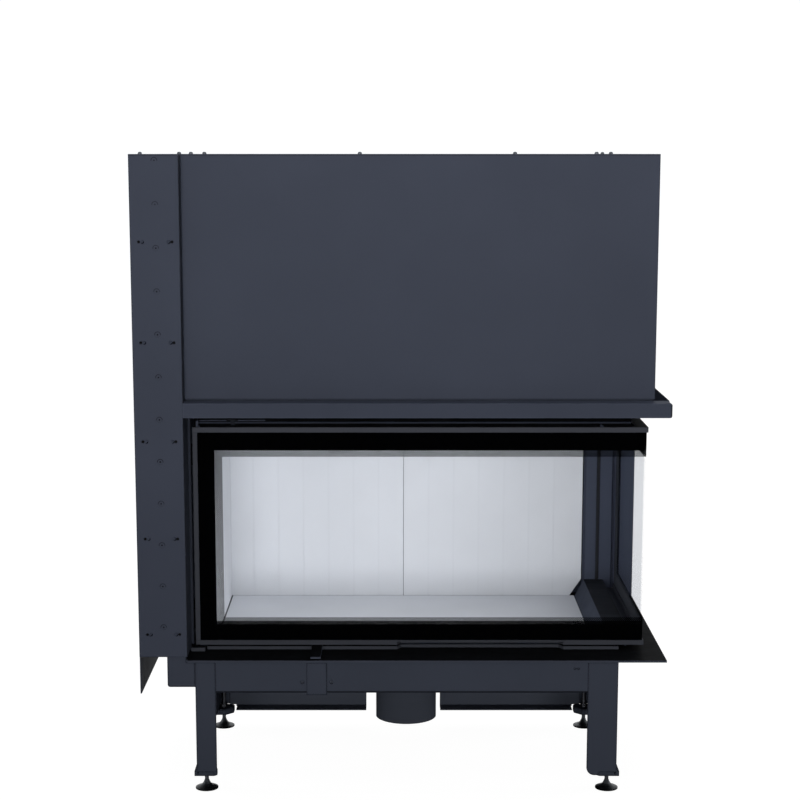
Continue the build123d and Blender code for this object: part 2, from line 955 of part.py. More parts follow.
def frame_seals():
    """Rope seals on the fixed frame, along the head and the foot of the door."""
    d0 = door_back + seal_gap
    d1 = sill_frame_face
    x0 = wall_inside_x
    x1 = kerb_shelf_right
    side_x1 = door_inside_x - seal_gap
    seals = []
    for z0 in (glass_top, door_bottom):
        z1 = z0 + (d1 - d0)
        seals.append(block(x0, side_x1, d0, d1, z0, z1))
        seals.append(block(x1, side_x1, d1, door_end - 2 * slide_gap, z0, z1))
    z0 = door_bottom
    z1 = glass_top
    seals.append(block(wall_left, wall_inside_x, d0, d1, z0, z1))
    return group(seals)


# Door
def pane_lips(z0, z1):
    """Retaining lips behind the front pane and inside the side pane."""
    front_d0 = glass_front_face + glass_thickness + hair_gap
    front_d1 = front_d0 + lip_thickness
    side_x1 = glass_right - glass_thickness - hair_gap
    side_x0 = side_x1 - lip_thickness
    front = block(door_left + stile_width, side_x1, front_d0, front_d1, z0, z1)
    side = block(side_x0, side_x1, front_d0, door_end - rear_stile_depth, z0, z1)
    return front + side


def door_top_rail():
    z0 = glass_top
    front = block(door_left, door_right, door_face, door_back, z0, door_top)
    side = block(door_inside_x, door_right, door_back, door_end, z0, door_top)
    return front + side + pane_lips(z0 - lip_height, z0)


def grip_prism(z0, z1, face):
    """The hollow in front of the finger grip, with slanted ends."""
    points = [
        (grip_left - grip_slant, face - slide_gap),
        (grip_right + grip_slant, face - slide_gap),
        (grip_right, face + grip_depth),
        (grip_left, face + grip_depth),
    ]
    outline = Polyline(*[(x, d - middle_depth, z0) for x, d in points], close=True)
    return extrude(make_face(outline), amount=z1 - z0, dir=(0, 0, 1))


def door_bottom_rail():
    z0 = door_bottom
    z1 = glass_bottom
    front = block(door_left, door_right, door_face, door_back, z0, z1)
    front -= grip_prism(z0 - slide_gap, z1 - rail_wall, door_face)
    for x0, x1 in grip_slots_from_left:
        front -= block(
            grip_left + x0,
            grip_left + x1,
            door_face + grip_depth - slide_gap,
            door_back - grip_slot_from_back,
            z0 - slide_gap,
            z1 - rail_wall,
        )
    side = block(door_inside_x, door_right, door_back, door_end, z0, z1)
    return front + side + pane_lips(z1, z1 + lip_height)


def door_left_stile():
    return block(door_left, door_left + stile_width, door_face, door_back, glass_bottom, glass_top)


def front_glass():
    d1 = glass_front_face + glass_thickness
    return block(door_left + stile_width, glass_right, glass_front_face, d1, glass_bottom, glass_top)


def side_glass():
    d0 = glass_front_face + glass_thickness
    d1 = door_end - rear_stile_depth
    x0 = glass_right - glass_thickness
    return block(x0, glass_right, d0, d1, glass_bottom, glass_top)


def left_carriage():
    """Flat runner beside the left stile, joined to it by two lugs."""
    x1 = carriage_x + carriage_thickness
    d1 = left_carriage_front + left_carriage_depth
    runner = block(carriage_x, x1, left_carriage_front, d1, carriage_bottom, carriage_top)
    d2 = left_carriage_front + left_lug_depth
    low = carriage_bottom + left_lug_inset
    high = carriage_top - left_lug_inset - left_lug_height
    for z in (low, high):
        runner += block(x1, door_left, left_carriage_front, d2, z, z + left_lug_height)
    return runner


def rear_carriage():
    """Rear stile of the side pane and the runner that goes into the rear column."""
    x0 = door_right - rear_stile_width
    d0 = door_end - rear_stile_depth
    stile = block(x0, door_right, d0, door_end, glass_bottom, glass_top)
    runner = block(
        rear_carriage_x,
        rear_carriage_x + carriage_thickness,
        door_end,
        rear_carriage_back,
        carriage_bottom,
        carriage_top,
    )
    return stile + runner


def door_sill_strip():
    z1 = base_top + sill_height
    face = door_face + sill_set_back
    sill_left = door_left + sill_left_inset
    sill_right = door_right - sill_right_inset
    strip = block(sill_left, sill_right, face, face + sill_depth, base_top, z1)
    strip -= grip_prism(base_top - slide_gap, z1 + slide_gap, face)
    strip -= block(
        lever_left - slide_gap,
        lever_right + slide_gap,
        face - sill_depth,
        face + 2 * sill_depth,
        0,
        base_top + 2 * sill_height,
    )
    stop_right = stop_left + stop_width
    stop_back = stop_face + stop_depth
    stop_bottom = base_top + stop_lift
    stop = block(stop_left, stop_right, stop_face, stop_back, stop_bottom, stop_bottom + stop_height)
    stop += block(stop_left, stop_right, stop_face + stop_foot_set_back, stop_back, base_top, stop_bottom)
    return group([*strip.solids(), stop])


# Guides, cables, pulleys and counterweights
def channel(x0, x1, d0, d1):
    """Upright channel open towards the front, with its web carried up to the top plates."""
    left = block(x0, x0 + sheet, d0, d1, guide_bottom, guide_top)
    right = block(x1 - sheet, x1, d0, d1, guide_bottom, guide_top)
    web = block(x0, x1, d1 - sheet, d1, guide_bottom, top_under)
    return left + right + web


def left_guide_rail():
    x0 = carriage_x - slide_gap - sheet
    x1 = carriage_x + carriage_thickness + slide_gap + sheet
    d0 = left_carriage_front + left_carriage_depth / 2
    d1 = left_carriage_front + left_carriage_depth + slide_gap + sheet
    rail = channel(x0, x1, d0, d1)
    return rail + block(x0, x0 + sheet, left_carriage_front, d0, guide_bottom, guide_top)


def rear_guide_rail():
    x0 = rear_carriage_x - slide_gap - sheet
    x1 = rear_carriage_x + carriage_thickness + slide_gap + sheet
    d1 = rear_carriage_back + slide_gap + sheet
    return channel(x0, x1, rear_column_face + sheet, d1)


def pulley(x, d):
    radius = pulley_pitch_radius + pulley_rim
    groove = cable_radius + touch_gap
    wheel = rod_y(x, d - pulley_width / 2, d + pulley_width / 2, pulley_height, radius)
    slot = rod_y(x, d - groove, d + groove, pulley_height, radius + slide_gap)
    slot -= rod_y(x, d - groove, d + groove, pulley_height, pulley_pitch_radius - groove)
    bore = rod_y(x, d - pulley_width, d + pulley_width, pulley_height, axle_radius + touch_gap)
    return wheel - slot - bore


def pulley_bracket(x, d):
    inner = pulley_width / 2 + bracket_side_gap
    outer = inner + stand_plate
    z0 = pulley_height - bracket_drop
    x0 = x - bracket_width / 2
    x1 = x + bracket_width / 2
    bracket = block(x0, x1, d - outer, d - inner, z0, top_under)
    bracket += block(x0, x1, d + inner, d + outer, z0, top_under)
    bracket += block(x0, x1, d - inner, d + inner, top_under - stand_plate, top_under)
    return bracket + rod_y(x, d - outer, d + outer, pulley_height, axle_radius)


def cable_wrap(x, d):
    ring = place(x, d, pulley_height) * Rot(90, 0, 0) * Torus(pulley_pitch_radius, cable_radius)
    radius = pulley_pitch_radius + pulley_rim
    half = block(x - radius, x + radius, d - radius, d + radius, pulley_height, pulley_height + radius)
    return ring & half


def cable_strands(x_left, x_rear, z_left, z_rear):
    left = rod_z(x_left, left_cable_depth, z_left, pulley_height, cable_radius)
    rear = rod_z(x_rear, rear_cable_depth, z_rear, pulley_height, cable_radius)
    return group([left, rear])


def counterweight(x, d, width, deep, height):
    body = block(
        x - width / 2,
        x + width / 2,
        d - deep / 2,
        d + deep / 2,
        weight_top - height,
        weight_top,
    )
    return chamfer(body.edges().filter_by(Axis.Z), weight_chamfer)


# Combustion air
def air_box():
    x0 = air_box_left
    x1 = air_box_right
    d0 = air_box_front
    d1 = air_box_back
    t = air_box_sheet
    step = hearth_front - tray_wall
    outer = block(x0, x1, d0, d1, air_box_bottom, tray_bottom)
    outer += block(x0, x1, d0, step, air_box_bottom, base_bottom)
    inner = block(x0 + t, x1 - t, d0 + t, d1 - t, air_box_bottom + t, tray_bottom + t)
    inner += block(x0 + t, x1 - t, d0 + t, step, air_box_bottom + t, base_bottom + t)
    arm_slot = block(
        lever_left - slide_gap,
        lever_right + slide_gap,
        d0 - t,
        d0 + 2 * t,
        damper_bottom - damper_lift,
        damper_bottom + damper_thickness + slide_gap,
    )
    mouth = rod_z(spigot_x, spigot_depth, 0, damper_bottom, spigot_radius - spigot_wall)
    return outer - inner - arm_slot - mouth


def air_spigot():
    tube = rod_z(spigot_x, spigot_depth, spigot_bottom, air_box_bottom, spigot_radius)
    z0 = air_box_bottom - spigot_wall
    flange = rod_z(spigot_x, spigot_depth, z0, air_box_bottom, spigot_radius + spigot_flange)
    bore = rod_z(spigot_x, spigot_depth, 0, casing_top, spigot_radius - spigot_wall)
    return tube + flange - bore


def air_slide():
    """Lever on the base plate, its tongue through the slot and the damper plate below."""
    x0 = lever_left
    x1 = lever_right
    tongue_back = lever_tongue_front + lever_tongue_thickness
    z0 = damper_bottom
    z1 = damper_bottom + damper_thickness
    lever_bottom = base_top + lever_lift
    lever_top = lever_bottom + lever_thickness
    lever = block(x0, x1, lever_tip, tongue_back, lever_bottom, lever_top)
    tongue = block(x0, x1, lever_tongue_front, tongue_back, z0, lever_top)
    half = damper_side / 2
    plate = block(spigot_x - half, spigot_x + half, spigot_depth - half, spigot_depth + half, z0, z1)
    arm_back = spigot_depth
    arm = block(x0, x1, lever_tongue_front, arm_back, z0, z1)
    cross = block(x0, spigot_x, arm_back - damper_arm_width, arm_back, z0, z1)
    return lever + tongue + plate + arm + cross


# Screws
def casing_screws():
    return group([rod_y(x, -screw_head, 0, z, screw_radius) for x, hole_x, z in screw_places()])


def top_bolt_places():
    """Across and depth of each bolt head on the top plates."""
    span = casing_right - column_right
    middles = [column_right + span * share for share in bolt_middle_shares]
    lefts = [column_right + inset for inset in front_bolt_left_insets]
    rights = [casing_right - inset for inset in front_bolt_right_insets]
    front = panel_set_back + front_bolt_set_back
    places = [(x, front) for x in lefts + middles + rights]
    places.append((left_edge + column_bolt_left_inset, column_bolt_front_inset))
    places.append((column_right - column_bolt_right_inset, column_bolt_behind_face))
    places.append((casing_right - side_bolt_inset, overall_depth - side_bolt_from_back))
    return places


def top_bolts():
    """Round-headed bolts on the top plates."""
    solids = []
    for x, d in top_bolt_places():
        head = rod_z(x, d, casing_top, casing_top + bolt_head, bolt_radius)
        solids.append(fillet(head.edges().group_by(Axis.Z)[-1], bolt_rounding))
    return group(solids)


nodes = {
    "column_front_panel": column_front_panel(),
    "left_side_panel": left_side_panel(),
    "column_inner_panel": column_inner_panel(),
    "upper_front_panel": upper_front_panel(),
    "upper_right_panel": upper_right_panel(),
    "rear_panel": rear_panel(),
    "ledge_front": ledge_front(),
    "ledge_right": ledge_right(),
    "top_plates": top_plates(),
    "rear_column_strip": rear_column_strip(),
    "rear_column_cover": rear_column_cover(),
    "base_plate": base_plate(),
    "front_left_leg": front_left_leg(),
    "front_right_leg": front_right_leg(),
    "rear_legs": rear_legs(),
    "front_apron": front_apron(),
    "stand_side_rails": stand_side_rails(),
    "rear_skirt": rear_skirt(),
    "left_lower_plate": left_lower_plate(),
    "lever_cover": lever_cover(),
    "foot_front_left": levelling_foot(front_left_foot_x, foot_front_depth),
    "foot_front_right": levelling_foot(front_right_foot_x, foot_front_depth),
    "foot_rear_left": levelling_foot(rear_left_foot_x, foot_rear_depth),
    "foot_rear_right": levelling_foot(rear_right_foot_x, foot_rear_depth),
    "firebox_tray": firebox_tray(),
    "hearth_slab": hearth_slab(),
    "firebox_left_wall": firebox_left_wall(),
    "firebox_rear_wall": firebox_rear_wall(),
    "firebox_roof": firebox_roof(),
    "smoke_hood": smoke_hood(),
    "flue_collar": flue_collar(),
    "baffle_plate": baffle_plate(),
    "rear_lining_left": rear_lining_left(),
    "rear_lining_right": rear_lining_right(),
    "left_lining": left_lining(),
    "side_kerb": side_kerb(),
    "door_lintel": door_lintel(),
    "frame_seals": frame_seals(),
    "door_top_rail": door_top_rail(),
    "door_bottom_rail": door_bottom_rail(),
    "door_left_stile": door_left_stile(),
    "front_glass": front_glass(),
    "side_glass": side_glass(),
    "left_carriage": left_carriage(),
    "rear_carriage": rear_carriage(),
    "door_sill_strip": door_sill_strip(),
    "left_guide_rail": left_guide_rail(),
    "rear_guide_rail": rear_guide_rail(),
    "left_pulley": pulley(left_pulley_x, left_cable_depth),
    "rear_pulley": pulley(rear_pulley_x, rear_cable_depth),
    "pulley_brackets": group(
        [
            pulley_bracket(left_pulley_x, left_cable_depth),
            pulley_bracket(rear_pulley_x, rear_cable_depth),
        ]
    ),
    "cable_wraps": group(
        [
            cable_wrap(left_pulley_x, left_cable_depth),
            cable_wrap(rear_pulley_x, rear_cable_depth),
        ]
    ),
    "door_cable_strands": cable_strands(left_cable_x, rear_cable_x, carriage_top, carriage_top),
    "weight_cable_strands": cable_strands(left_weight_x, rear_weight_x, weight_top, weight_top),
    "left_counterweight": counterweight(
        left_weight_x,
        left_cable_depth,
        left_weight_width,
        left_weight_depth,
        left_weight_height,
    ),
    "rear_counterweight": counterweight(
        rear_weight_x,
        rear_cable_depth,
        rear_weight_width,
        rear_weight_depth,
        rear_weight_height,
    ),
    "air_box": air_box(),
    "air_spigot": air_spigot(),
    "air_slide": air_slide(),
    "casing_fasteners": group([*casing_screws().solids(), *top_bolts().solids()]),
}

for name, shape in nodes.items():
    save(name, shape)
print(len(nodes), "nodes")
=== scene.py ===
"""Studio scene of the corner fireplace insert.

It sets the camera, the light and the materials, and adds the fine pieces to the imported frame.
"""

import math

import bmesh
import bpy
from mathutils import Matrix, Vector

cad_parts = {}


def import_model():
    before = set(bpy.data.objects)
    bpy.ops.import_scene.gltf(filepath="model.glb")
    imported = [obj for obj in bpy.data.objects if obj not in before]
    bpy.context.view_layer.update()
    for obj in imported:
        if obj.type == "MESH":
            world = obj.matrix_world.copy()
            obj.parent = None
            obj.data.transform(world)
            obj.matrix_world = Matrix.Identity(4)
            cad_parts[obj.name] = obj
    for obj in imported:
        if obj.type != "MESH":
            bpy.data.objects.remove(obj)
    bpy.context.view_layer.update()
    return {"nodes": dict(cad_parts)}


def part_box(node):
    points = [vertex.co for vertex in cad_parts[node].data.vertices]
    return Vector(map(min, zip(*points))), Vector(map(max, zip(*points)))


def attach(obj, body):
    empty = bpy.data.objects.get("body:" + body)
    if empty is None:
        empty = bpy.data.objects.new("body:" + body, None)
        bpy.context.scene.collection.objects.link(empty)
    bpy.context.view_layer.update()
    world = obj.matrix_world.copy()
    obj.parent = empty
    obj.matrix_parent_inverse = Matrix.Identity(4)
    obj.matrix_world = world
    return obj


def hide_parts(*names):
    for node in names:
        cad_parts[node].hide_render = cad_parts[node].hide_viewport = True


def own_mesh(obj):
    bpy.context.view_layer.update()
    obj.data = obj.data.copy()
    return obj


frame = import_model()

MM = 0.001

# Places read from the frame
PANE_LOW, PANE_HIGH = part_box("front_glass")
SIDE_LOW, SIDE_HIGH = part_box("side_glass")
COLUMN_LOW, COLUMN_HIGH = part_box("column_front_panel")
LINTEL_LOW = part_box("door_lintel")[0]
STRIP_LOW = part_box("rear_column_strip")[0]
TOP_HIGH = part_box("top_plates")[1]
FRONT_Y = COLUMN_LOW.y

# Camera, from the photograph's receding edges. Pixels are those of its 800 by 800 frame.
IMAGE_SIDE = 800
FOCAL_PIXELS = 1826.0
AXIS_PIXEL_X = 390.0
AXIS_PIXEL_Y = 459.0
TILT_DOWN = math.radians(9.5)
CAMERA_FROM_LEFT = 0.4795
CAMERA_BACK = 3.385
CAMERA_HEIGHT = 1.231
SENSOR = 36.0
FAR_CLIP = 100.0

# Printed border of the panes, from its outer edge inwards: the widths of the solid black, of the
# merged dots and of the single dots. The two radii are shares of the dots' pitch.
BORDER_TOP = (35.0 * MM, 0.0, 12.4 * MM)
BORDER_SIDE = (32.4 * MM, 0.0, 15.0 * MM)
BORDER_BOTTOM = (31.6 * MM, 7.0 * MM, 7.2 * MM)
SIDE_BORDER_TOP = (35.0 * MM, 12.4 * MM, 0.0)
DOT_PITCH = 3.9 * MM
DOT_RADIUS = 0.46
MERGED_RADIUS = 0.62
BORDER_BACK = (0.06, 0.064, 0.074)
INK_DARK = (0.0006, 0.0007, 0.0009)
INK_LIGHT = (0.0011, 0.0012, 0.0015)
PANE_TINT = (0.855, 0.866, 0.884)
PANE_CLEAR = (0.995, 0.995, 0.995)
PANE_SHINE = 0.12

# Colours
CASING = (0.053, 0.0605, 0.085)
STAND = (0.0545, 0.062, 0.084)
# The skirt's colour is the stand's paint made lighter, as painted light on the skirt and spigot in
# the stand's shade.
SKIRT_LIT = (0.075, 0.084, 0.108)
DOOR = (0.057, 0.061, 0.074)
DARK_STEEL = (0.02, 0.022, 0.028)
NEAR_BLACK = (0.0028, 0.003, 0.0036)
BOARD = (0.83, 0.845, 0.875)
ZINC = (0.42, 0.43, 0.45)
SCREW_STEEL = (0.07, 0.075, 0.085)
SEAL_ROPE = (0.02, 0.02, 0.022)
CORD_ROPE = (0.026, 0.027, 0.031)
BELL = ((0.014, 0.016, 0.018), (0.03, 0.032, 0.035))
STUD = ((0.02, 0.021, 0.025), (0.034, 0.036, 0.042))
RUBBER = (0.004, 0.004, 0.004)

# Surface detail, including painted highlight and painted shade on edges, rims, marks, holes, heads
# and tops. Shares are of the paint's own colour.
CLOUD_FROM = 0.3
CLOUD_TO = 0.7
EDGE_RADIUS = 4.0 * MM
STAND_EDGE_RADIUS = 6.0 * MM
EDGE_TONE_RADIUS = 1.2 * MM
STEEL_WEAR_RADIUS = 0.6 * MM
EDGE_SHADE_SHARE = 0.42
EDGE_HIGHLIGHT_SHARE = 1.18
RIM_SHADE_SHARE = 0.3
MARK_SHADE_SHARE = 0.4
HEAD_SHADE_SHARE = 0.04
KERB_TOP_SHADE = 7.0
LINTEL_LIP_DEPTH = 5.5 * MM
ROPE_STRANDS = 1200.0
RIM_TOP = 2.4 * MM
STUD_BOTTOM = 17.5 * MM
THREAD_PITCH = 1.25 * MM

# Light. Each lamp has its name, place, target, size, power and spread.
WORLD_COLOR = (0.97, 0.985, 1.0, 1)
WORLD_STRENGTH = 0.14
WHITE_STRENGTH = 1.05
FLOOR_SIDE = 12.0
FLOOR_GLOW = 0.97
FLOOR_NEAR = 0.5
FLOOR_FAR = 1.8
FLOOR_SHADE = (0.12, 0.12, 0.12)
KEY_SPREAD = math.radians(46)
WIDE = math.pi
FIREBOX_LAMP_Y = PANE_HIGH.y + 0.02
LAMPS = (
    ("key", (0.0, -8.5, 1.5), (0, -0.3, 2.5), (3.2, 2.4), 46.0, KEY_SPREAD),
    ("upper_front", (0.0, -1.7, 3.2), (0, -0.2, 0.9), (2.0, 1.0), 10.0, WIDE),
    ("left_side", (-4.0, 0.4, 1.6), (0, 0.1, 0.7), (2.0, 2.0), 45.0, WIDE),
    ("right_side", (4.0, 0.2, 1.5), (0, 0.1, 0.6), (2.0, 2.0), 45.0, WIDE),
    ("back", (0.0, 3.4, 3.6), (0, 0, 0.7), (2.4, 1.6), 60.0, WIDE),
    ("firebox", (0.0, FIREBOX_LAMP_Y, 0.42), (0.0, 1.0, 0.3), (0.7, 0.24), 0.72, WIDE),
)

# Fine pieces. Depths count from the casing's front face, and outlines are in millimetres.
SOFTENED = 0.25 * MM
FINE_GAP = 0.1 * MM
THIN_SHEET = 1.2 * MM
CATCH_DEPTH = (84.0 * MM, 94.0 * MM)
CATCH_OUTLINE = (
    (-398.5, 0.0),
    (-391.0, 0.0),
    (-391.0, 1.5),
    (-394.3, 2.4),
    (-394.3, 11.0),
    (-395.4, 12.4),
    (-397.6, 12.4),
    (-398.5, 11.0),
)
HOOK_OUTLINE = (
    (378.4, 0.0),
    (385.8, 0.0),
    (385.8, 1.4),
    (382.5, 1.8),
    (382.0, 3.4),
    (379.4, 3.4),
    (378.4, 2.4),
)
CLIP_OUTLINE = (
    (-340.8, 725.1),
    (-334.0, 726.2),
    (-320.3, 724.4),
    (-320.3, 722.2),
    (-325.5, 721.4),
    (-324.5, 713.6),
    (-332.5, 713.6),
    (-333.6, 723.0),
    (-340.8, 723.3),
)
CLIP_THICKNESS = 1.4 * MM
LINTEL_STRIP_HEIGHT = (721.6 * MM, 724.0 * MM)
LINTEL_STRIPS = ((-394.0 * MM, -341.5 * MM), (-319.5 * MM, -266.7 * MM))
LINTEL_STRIP_DEPTH = (0.5 * MM, 6.0 * MM)
FOLD_BELOW = 12.0 * MM
FOLD_ABOVE = 14.0 * MM
EDGE_STRIP_HEIGHT = (286.0 * MM, 738.0 * MM)
CORD_HEIGHT = (300.0 * MM, 706.0 * MM)
CORD_FROM_LEFT = 24.3 * MM
CORD_WIDTH = 7.3 * MM
CORD_BULGE = 2.4 * MM
CORD_BEHIND_FACE = 1.0 * MM
CORD_STEPS = 10
CABLE_RADIUS = 1.5 * MM
CABLE_GROOVE = 0.3 * MM
CABLE_LAY = 20.0 * MM
CABLE_STEP = 2.5 * MM
CABLE_STRANDS = 6
LOOSE_GAP = 0.01 * MM
HEAD_SEGMENTS = 24
HEAD_PROFILE = ((1.0, 0.0), (0.97, 0.34), (0.88, 0.62), (0.72, 0.86), (0.5, 1.0))
SOCKET_SHARE = 0.36
SOCKET_FLOOR = 0.35
FRONT_FLOOR = 0.85
MARK_ABOVE_BOTTOM = 58.6 * MM
MARK_BELOW_TOP = 171.4 * MM
MARK_COUNT = 10
MARK_FROM_LEFT = 47.5 * MM
MARK_RADIUS = 5.4 * MM
MARK_RIM = 0.8 * MM
MARK_PIN = 1.6 * MM
HOLE_SHADE_DEPTH = 0.6 * MM


class Nodes:
    """Short calls for building one material's node tree."""

    def __init__(self, name):
        self.material = bpy.data.materials.new(name)
        self.material.use_nodes = True
        self.tree = self.material.node_tree
        self.tree.nodes.clear()
        self.out = self.tree.nodes.new("ShaderNodeOutputMaterial")

    def add(self, kind, **settings):
        node = self.tree.nodes.new(kind)
        for key, value in settings.items():
            setattr(node, key, value)
        return node

    def link(self, source, target):
        self.tree.links.new(source, target)

    def feed(self, socket, value):
        if isinstance(value, bpy.types.NodeSocket):
            self.link(value, socket)
        elif isinstance(value, tuple):
            socket.default_value = (*value, 1)[:4]
        else:
            socket.default_value = value

    def math(self, operation, a, b=None, c=None, clamp=False):
        node = self.add("ShaderNodeMath", operation=operation, use_clamp=clamp)
        for socket, value in zip(node.inputs, (a, b, c)):
            if value is not None:
                self.feed(socket, value)
        return node.outputs[0]

    def place(self):
        """Object coordinates, which are metres in the part's frame."""
        return self.add("ShaderNodeTexCoord").outputs["Object"]

    def axes(self):
        split = self.add("ShaderNodeSeparateXYZ")
        self.link(self.place(), split.inputs[0])
        return split.outputs

    def facing(self):
        """The surface's own direction, split into the frame's axes."""
        split = self.add("ShaderNodeSeparateXYZ")
        self.link(self.add("ShaderNodeNewGeometry").outputs["True Normal"], split.inputs[0])
        return split.outputs

    def noise(self, scale, detail=2.0, rough=0.5, stretch=None):
        node = self.add("ShaderNodeTexNoise")
        node.inputs["Scale"].default_value = scale
        node.inputs["Detail"].default_value = detail
        node.inputs["Roughness"].default_value = rough
        vector = self.place()
        if stretch:
            mapping = self.add("ShaderNodeMapping")
            mapping.inputs["Scale"].default_value = stretch
            self.link(vector, mapping.inputs["Vector"])
            vector = mapping.outputs[0]
        self.link(vector, node.inputs["Vector"])
        return node.outputs["Fac"]

    def span(self, factor, low, high, start=0.0, stop=1.0):
        """factor's start to stop carried to low to high."""
        node = self.add("ShaderNodeMapRange")
        self.link(factor, node.inputs["Value"])
        ends = {"From Min": start, "From Max": stop, "To Min": low, "To Max": high}
        for name, value in ends.items():
            node.inputs[name].default_value = value
        return node.outputs[0]

    def cloud(self, scale, detail=2.0, stretch=None):
        """Soft noise that reaches from 0 to 1."""
        noise = self.noise(scale, detail, stretch=stretch)
        return self.span(noise, 0.0, 1.0, CLOUD_FROM, CLOUD_TO)

    def length(self, a, b):
        squares = self.math("ADD", self.math("MULTIPLY", a, a), self.math("MULTIPLY", b, b))
        return self.math("SQRT", squares)

    def blend(self, factor, a, b):
        """Colour a where factor is 0, colour b where it is 1."""
        node = self.add("ShaderNodeMix", data_type="RGBA")
        self.feed(node.inputs["Factor"], factor)
        self.feed(node.inputs[6], a)
        self.feed(node.inputs[7], b)
        return node.outputs[2]

    def edge(self, radius):
        """1 on sharp edges, 0 on flats: how far a rounded normal leaves the true one."""
        rounded = self.add("ShaderNodeBevel", samples=4)
        rounded.inputs["Radius"].default_value = radius
        compare = self.add("ShaderNodeVectorMath", operation="DOT_PRODUCT")
        self.link(rounded.outputs[0], compare.inputs[0])
        self.link(self.add("ShaderNodeNewGeometry").outputs["True Normal"], compare.inputs[1])
        return self.span(compare.outputs["Value"], 1.0, 0.0, 0.75, 0.99)

    def bump(self, height, strength, distance):
        node = self.add("ShaderNodeBump")
        node.inputs["Strength"].default_value = strength
        node.inputs["Distance"].default_value = distance
        self.link(height, node.inputs["Height"])
        return node.outputs[0]

    def principled(self, color, roughness, metallic=0.0, normal=None, specular=0.5):
        node = self.add("ShaderNodeBsdfPrincipled")
        self.feed(node.inputs["Base Color"], color)
        self.feed(node.inputs["Roughness"], roughness)
        node.inputs["Metallic"].default_value = metallic
        node.inputs["Specular IOR Level"].default_value = specular
        if normal is not None:
            self.link(normal, node.inputs["Normal"])
        return node.outputs[0]

    def mix(self, factor, a, b):
        node = self.add("ShaderNodeMixShader")
        self.feed(node.inputs[0], factor)
        self.link(a, node.inputs[1])
        self.link(b, node.inputs[2])
        return node.outputs[0]

    def done(self, shader):
        self.link(shader, self.out.inputs["Surface"])
        return self.material


def scaled(color, share):
    return tuple(c * share for c in color)


def column_mark_shade(n, tone, color):
    """Painted shade in the pressed marks on the column's front: a dark rim round their upper half
    and a dark middle.
    """
    axes = n.axes()
    first = COLUMN_LOW.z + MARK_ABOVE_BOTTOM
    pitch = (TOP_HIGH.z - MARK_BELOW_TOP - first) / (MARK_COUNT - 1)
    across = n.math("SUBTRACT", axes["X"], COLUMN_LOW.x + MARK_FROM_LEFT)
    along = n.math("WRAP", n.math("SUBTRACT", axes["Z"], first), pitch / 2, -pitch / 2)
    away = n.length(across, along)
    upper = n.math("GREATER_THAN", along, -MARK_RIM)
    rim = n.math("MULTIPLY", n.math("COMPARE", away, MARK_RADIUS, MARK_RIM), upper)
    middle = n.math("LESS_THAN", away, MARK_PIN)
    return n.blend(n.math("MAXIMUM", rim, middle), tone, scaled(color, MARK_SHADE_SHARE))


def painted(
    name,
    color,
    rough=0.55,
    specular=0.03,
    painted_facing_light=None,
    outline=EDGE_SHADE_SHARE,
    end=None,
    reach=EDGE_RADIUS,
    marks=False,
    front=None,
):
    """Powder-coated sheet: orange peel and faint clouding, with a painted highlight along the edges
    and a dark outline of painted shade on them.

    shaded is the frame axis, its sign and the paint's share on the faces that look that way.
    end is an axis and the two places between which its front faces turn to a dark rim of painted
    shade.
    reach is how far the painted edge highlight and outline go in, and marks adds the painted shade
    in the column's marks.
    front is where a holed plate's face lies, behind which it is black, as painted shade in the
    holes.
    """
    n = Nodes(name)
    tone = n.blend(n.cloud(4.0, 3.0), scaled(color, 0.95), scaled(color, 1.05))
    speck = n.span(n.noise(1400.0, 1.0), 0.0, 0.5, 0.62, 0.75)
    tone = n.blend(speck, tone, scaled(color, 1.12))
    # Painted light and shade by facing: faces that look along the given axis take the given share
    # of the colour, lighter above 1 and darker below.
    if painted_facing_light:
        axis, sign, share = painted_facing_light
        away = n.math("GREATER_THAN", n.math("MULTIPLY", n.facing()[axis], sign), 0.5)
        tone = n.blend(away, tone, scaled(color, share))
    # Painted light on every edge: a highlight just in from it and a dark outline of shade on it;
    # where outline is above 1, as on the ledge, the outline is a highlight too.
    edge = n.edge(reach)
    tone = n.blend(n.span(edge, 0.0, 0.6, 0.02, 0.3), tone, scaled(color, EDGE_HIGHLIGHT_SHARE))
    tone = n.blend(n.span(edge, 0.0, 1.0, 0.4, 0.8), tone, scaled(color, outline))
    # A dark rim of painted shade along one border of the front faces.
    if end is not None:
        axis, before, full = end
        rim = n.span(n.axes()[axis], 0.0, 1.0, before, full)
        forward = n.math("LESS_THAN", n.facing()["Y"], -0.3)
        tone = n.blend(n.math("MULTIPLY", rim, forward), tone, scaled(color, RIM_SHADE_SHARE))
    if marks:
        tone = column_mark_shade(n, tone, color)
    # Painted shade: black inside the holes, past the plate's face.
    if front is not None:
        hole_shade = n.math("GREATER_THAN", n.axes()["Y"], front + HOLE_SHADE_DEPTH)
        tone = n.blend(hole_shade, tone, NEAR_BLACK)
    sheen = n.span(n.noise(35.0, 3.0), rough - 0.07, rough + 0.07)
    normal = n.bump(n.noise(900.0, 2.0), 0.25, 0.15 * MM)
    return n.done(n.principled(tone, sheen, 0.0, normal, specular))


def shade_topped(name, top_shade=1.0):
    """Steel of the base plate, lever and kerb: near-black painted shade on the upward faces, paint
    on the other faces.
    """
    n = Nodes(name)
    up = n.span(n.facing()["Z"], 0.0, 1.0, 0.6, 0.8)
    streak = n.cloud(30.0, 3.0, (0.2, 1, 1))
    paint = n.blend(streak, scaled(STAND, 0.95), scaled(STAND, 1.1))
    top_shade = n.blend(streak, scaled(NEAR_BLACK, 0.8 * top_shade), scaled(NEAR_BLACK, 1.6 * top_shade))
    tone = n.blend(up, paint, top_shade)
    sheen = n.span(n.noise(60.0, 2.0), 0.5, 0.65)
    normal = n.bump(n.noise(700.0, 2.0), 0.3, 0.15 * MM)
    return n.done(n.principled(tone, sheen, 0.0, normal, 0.01))


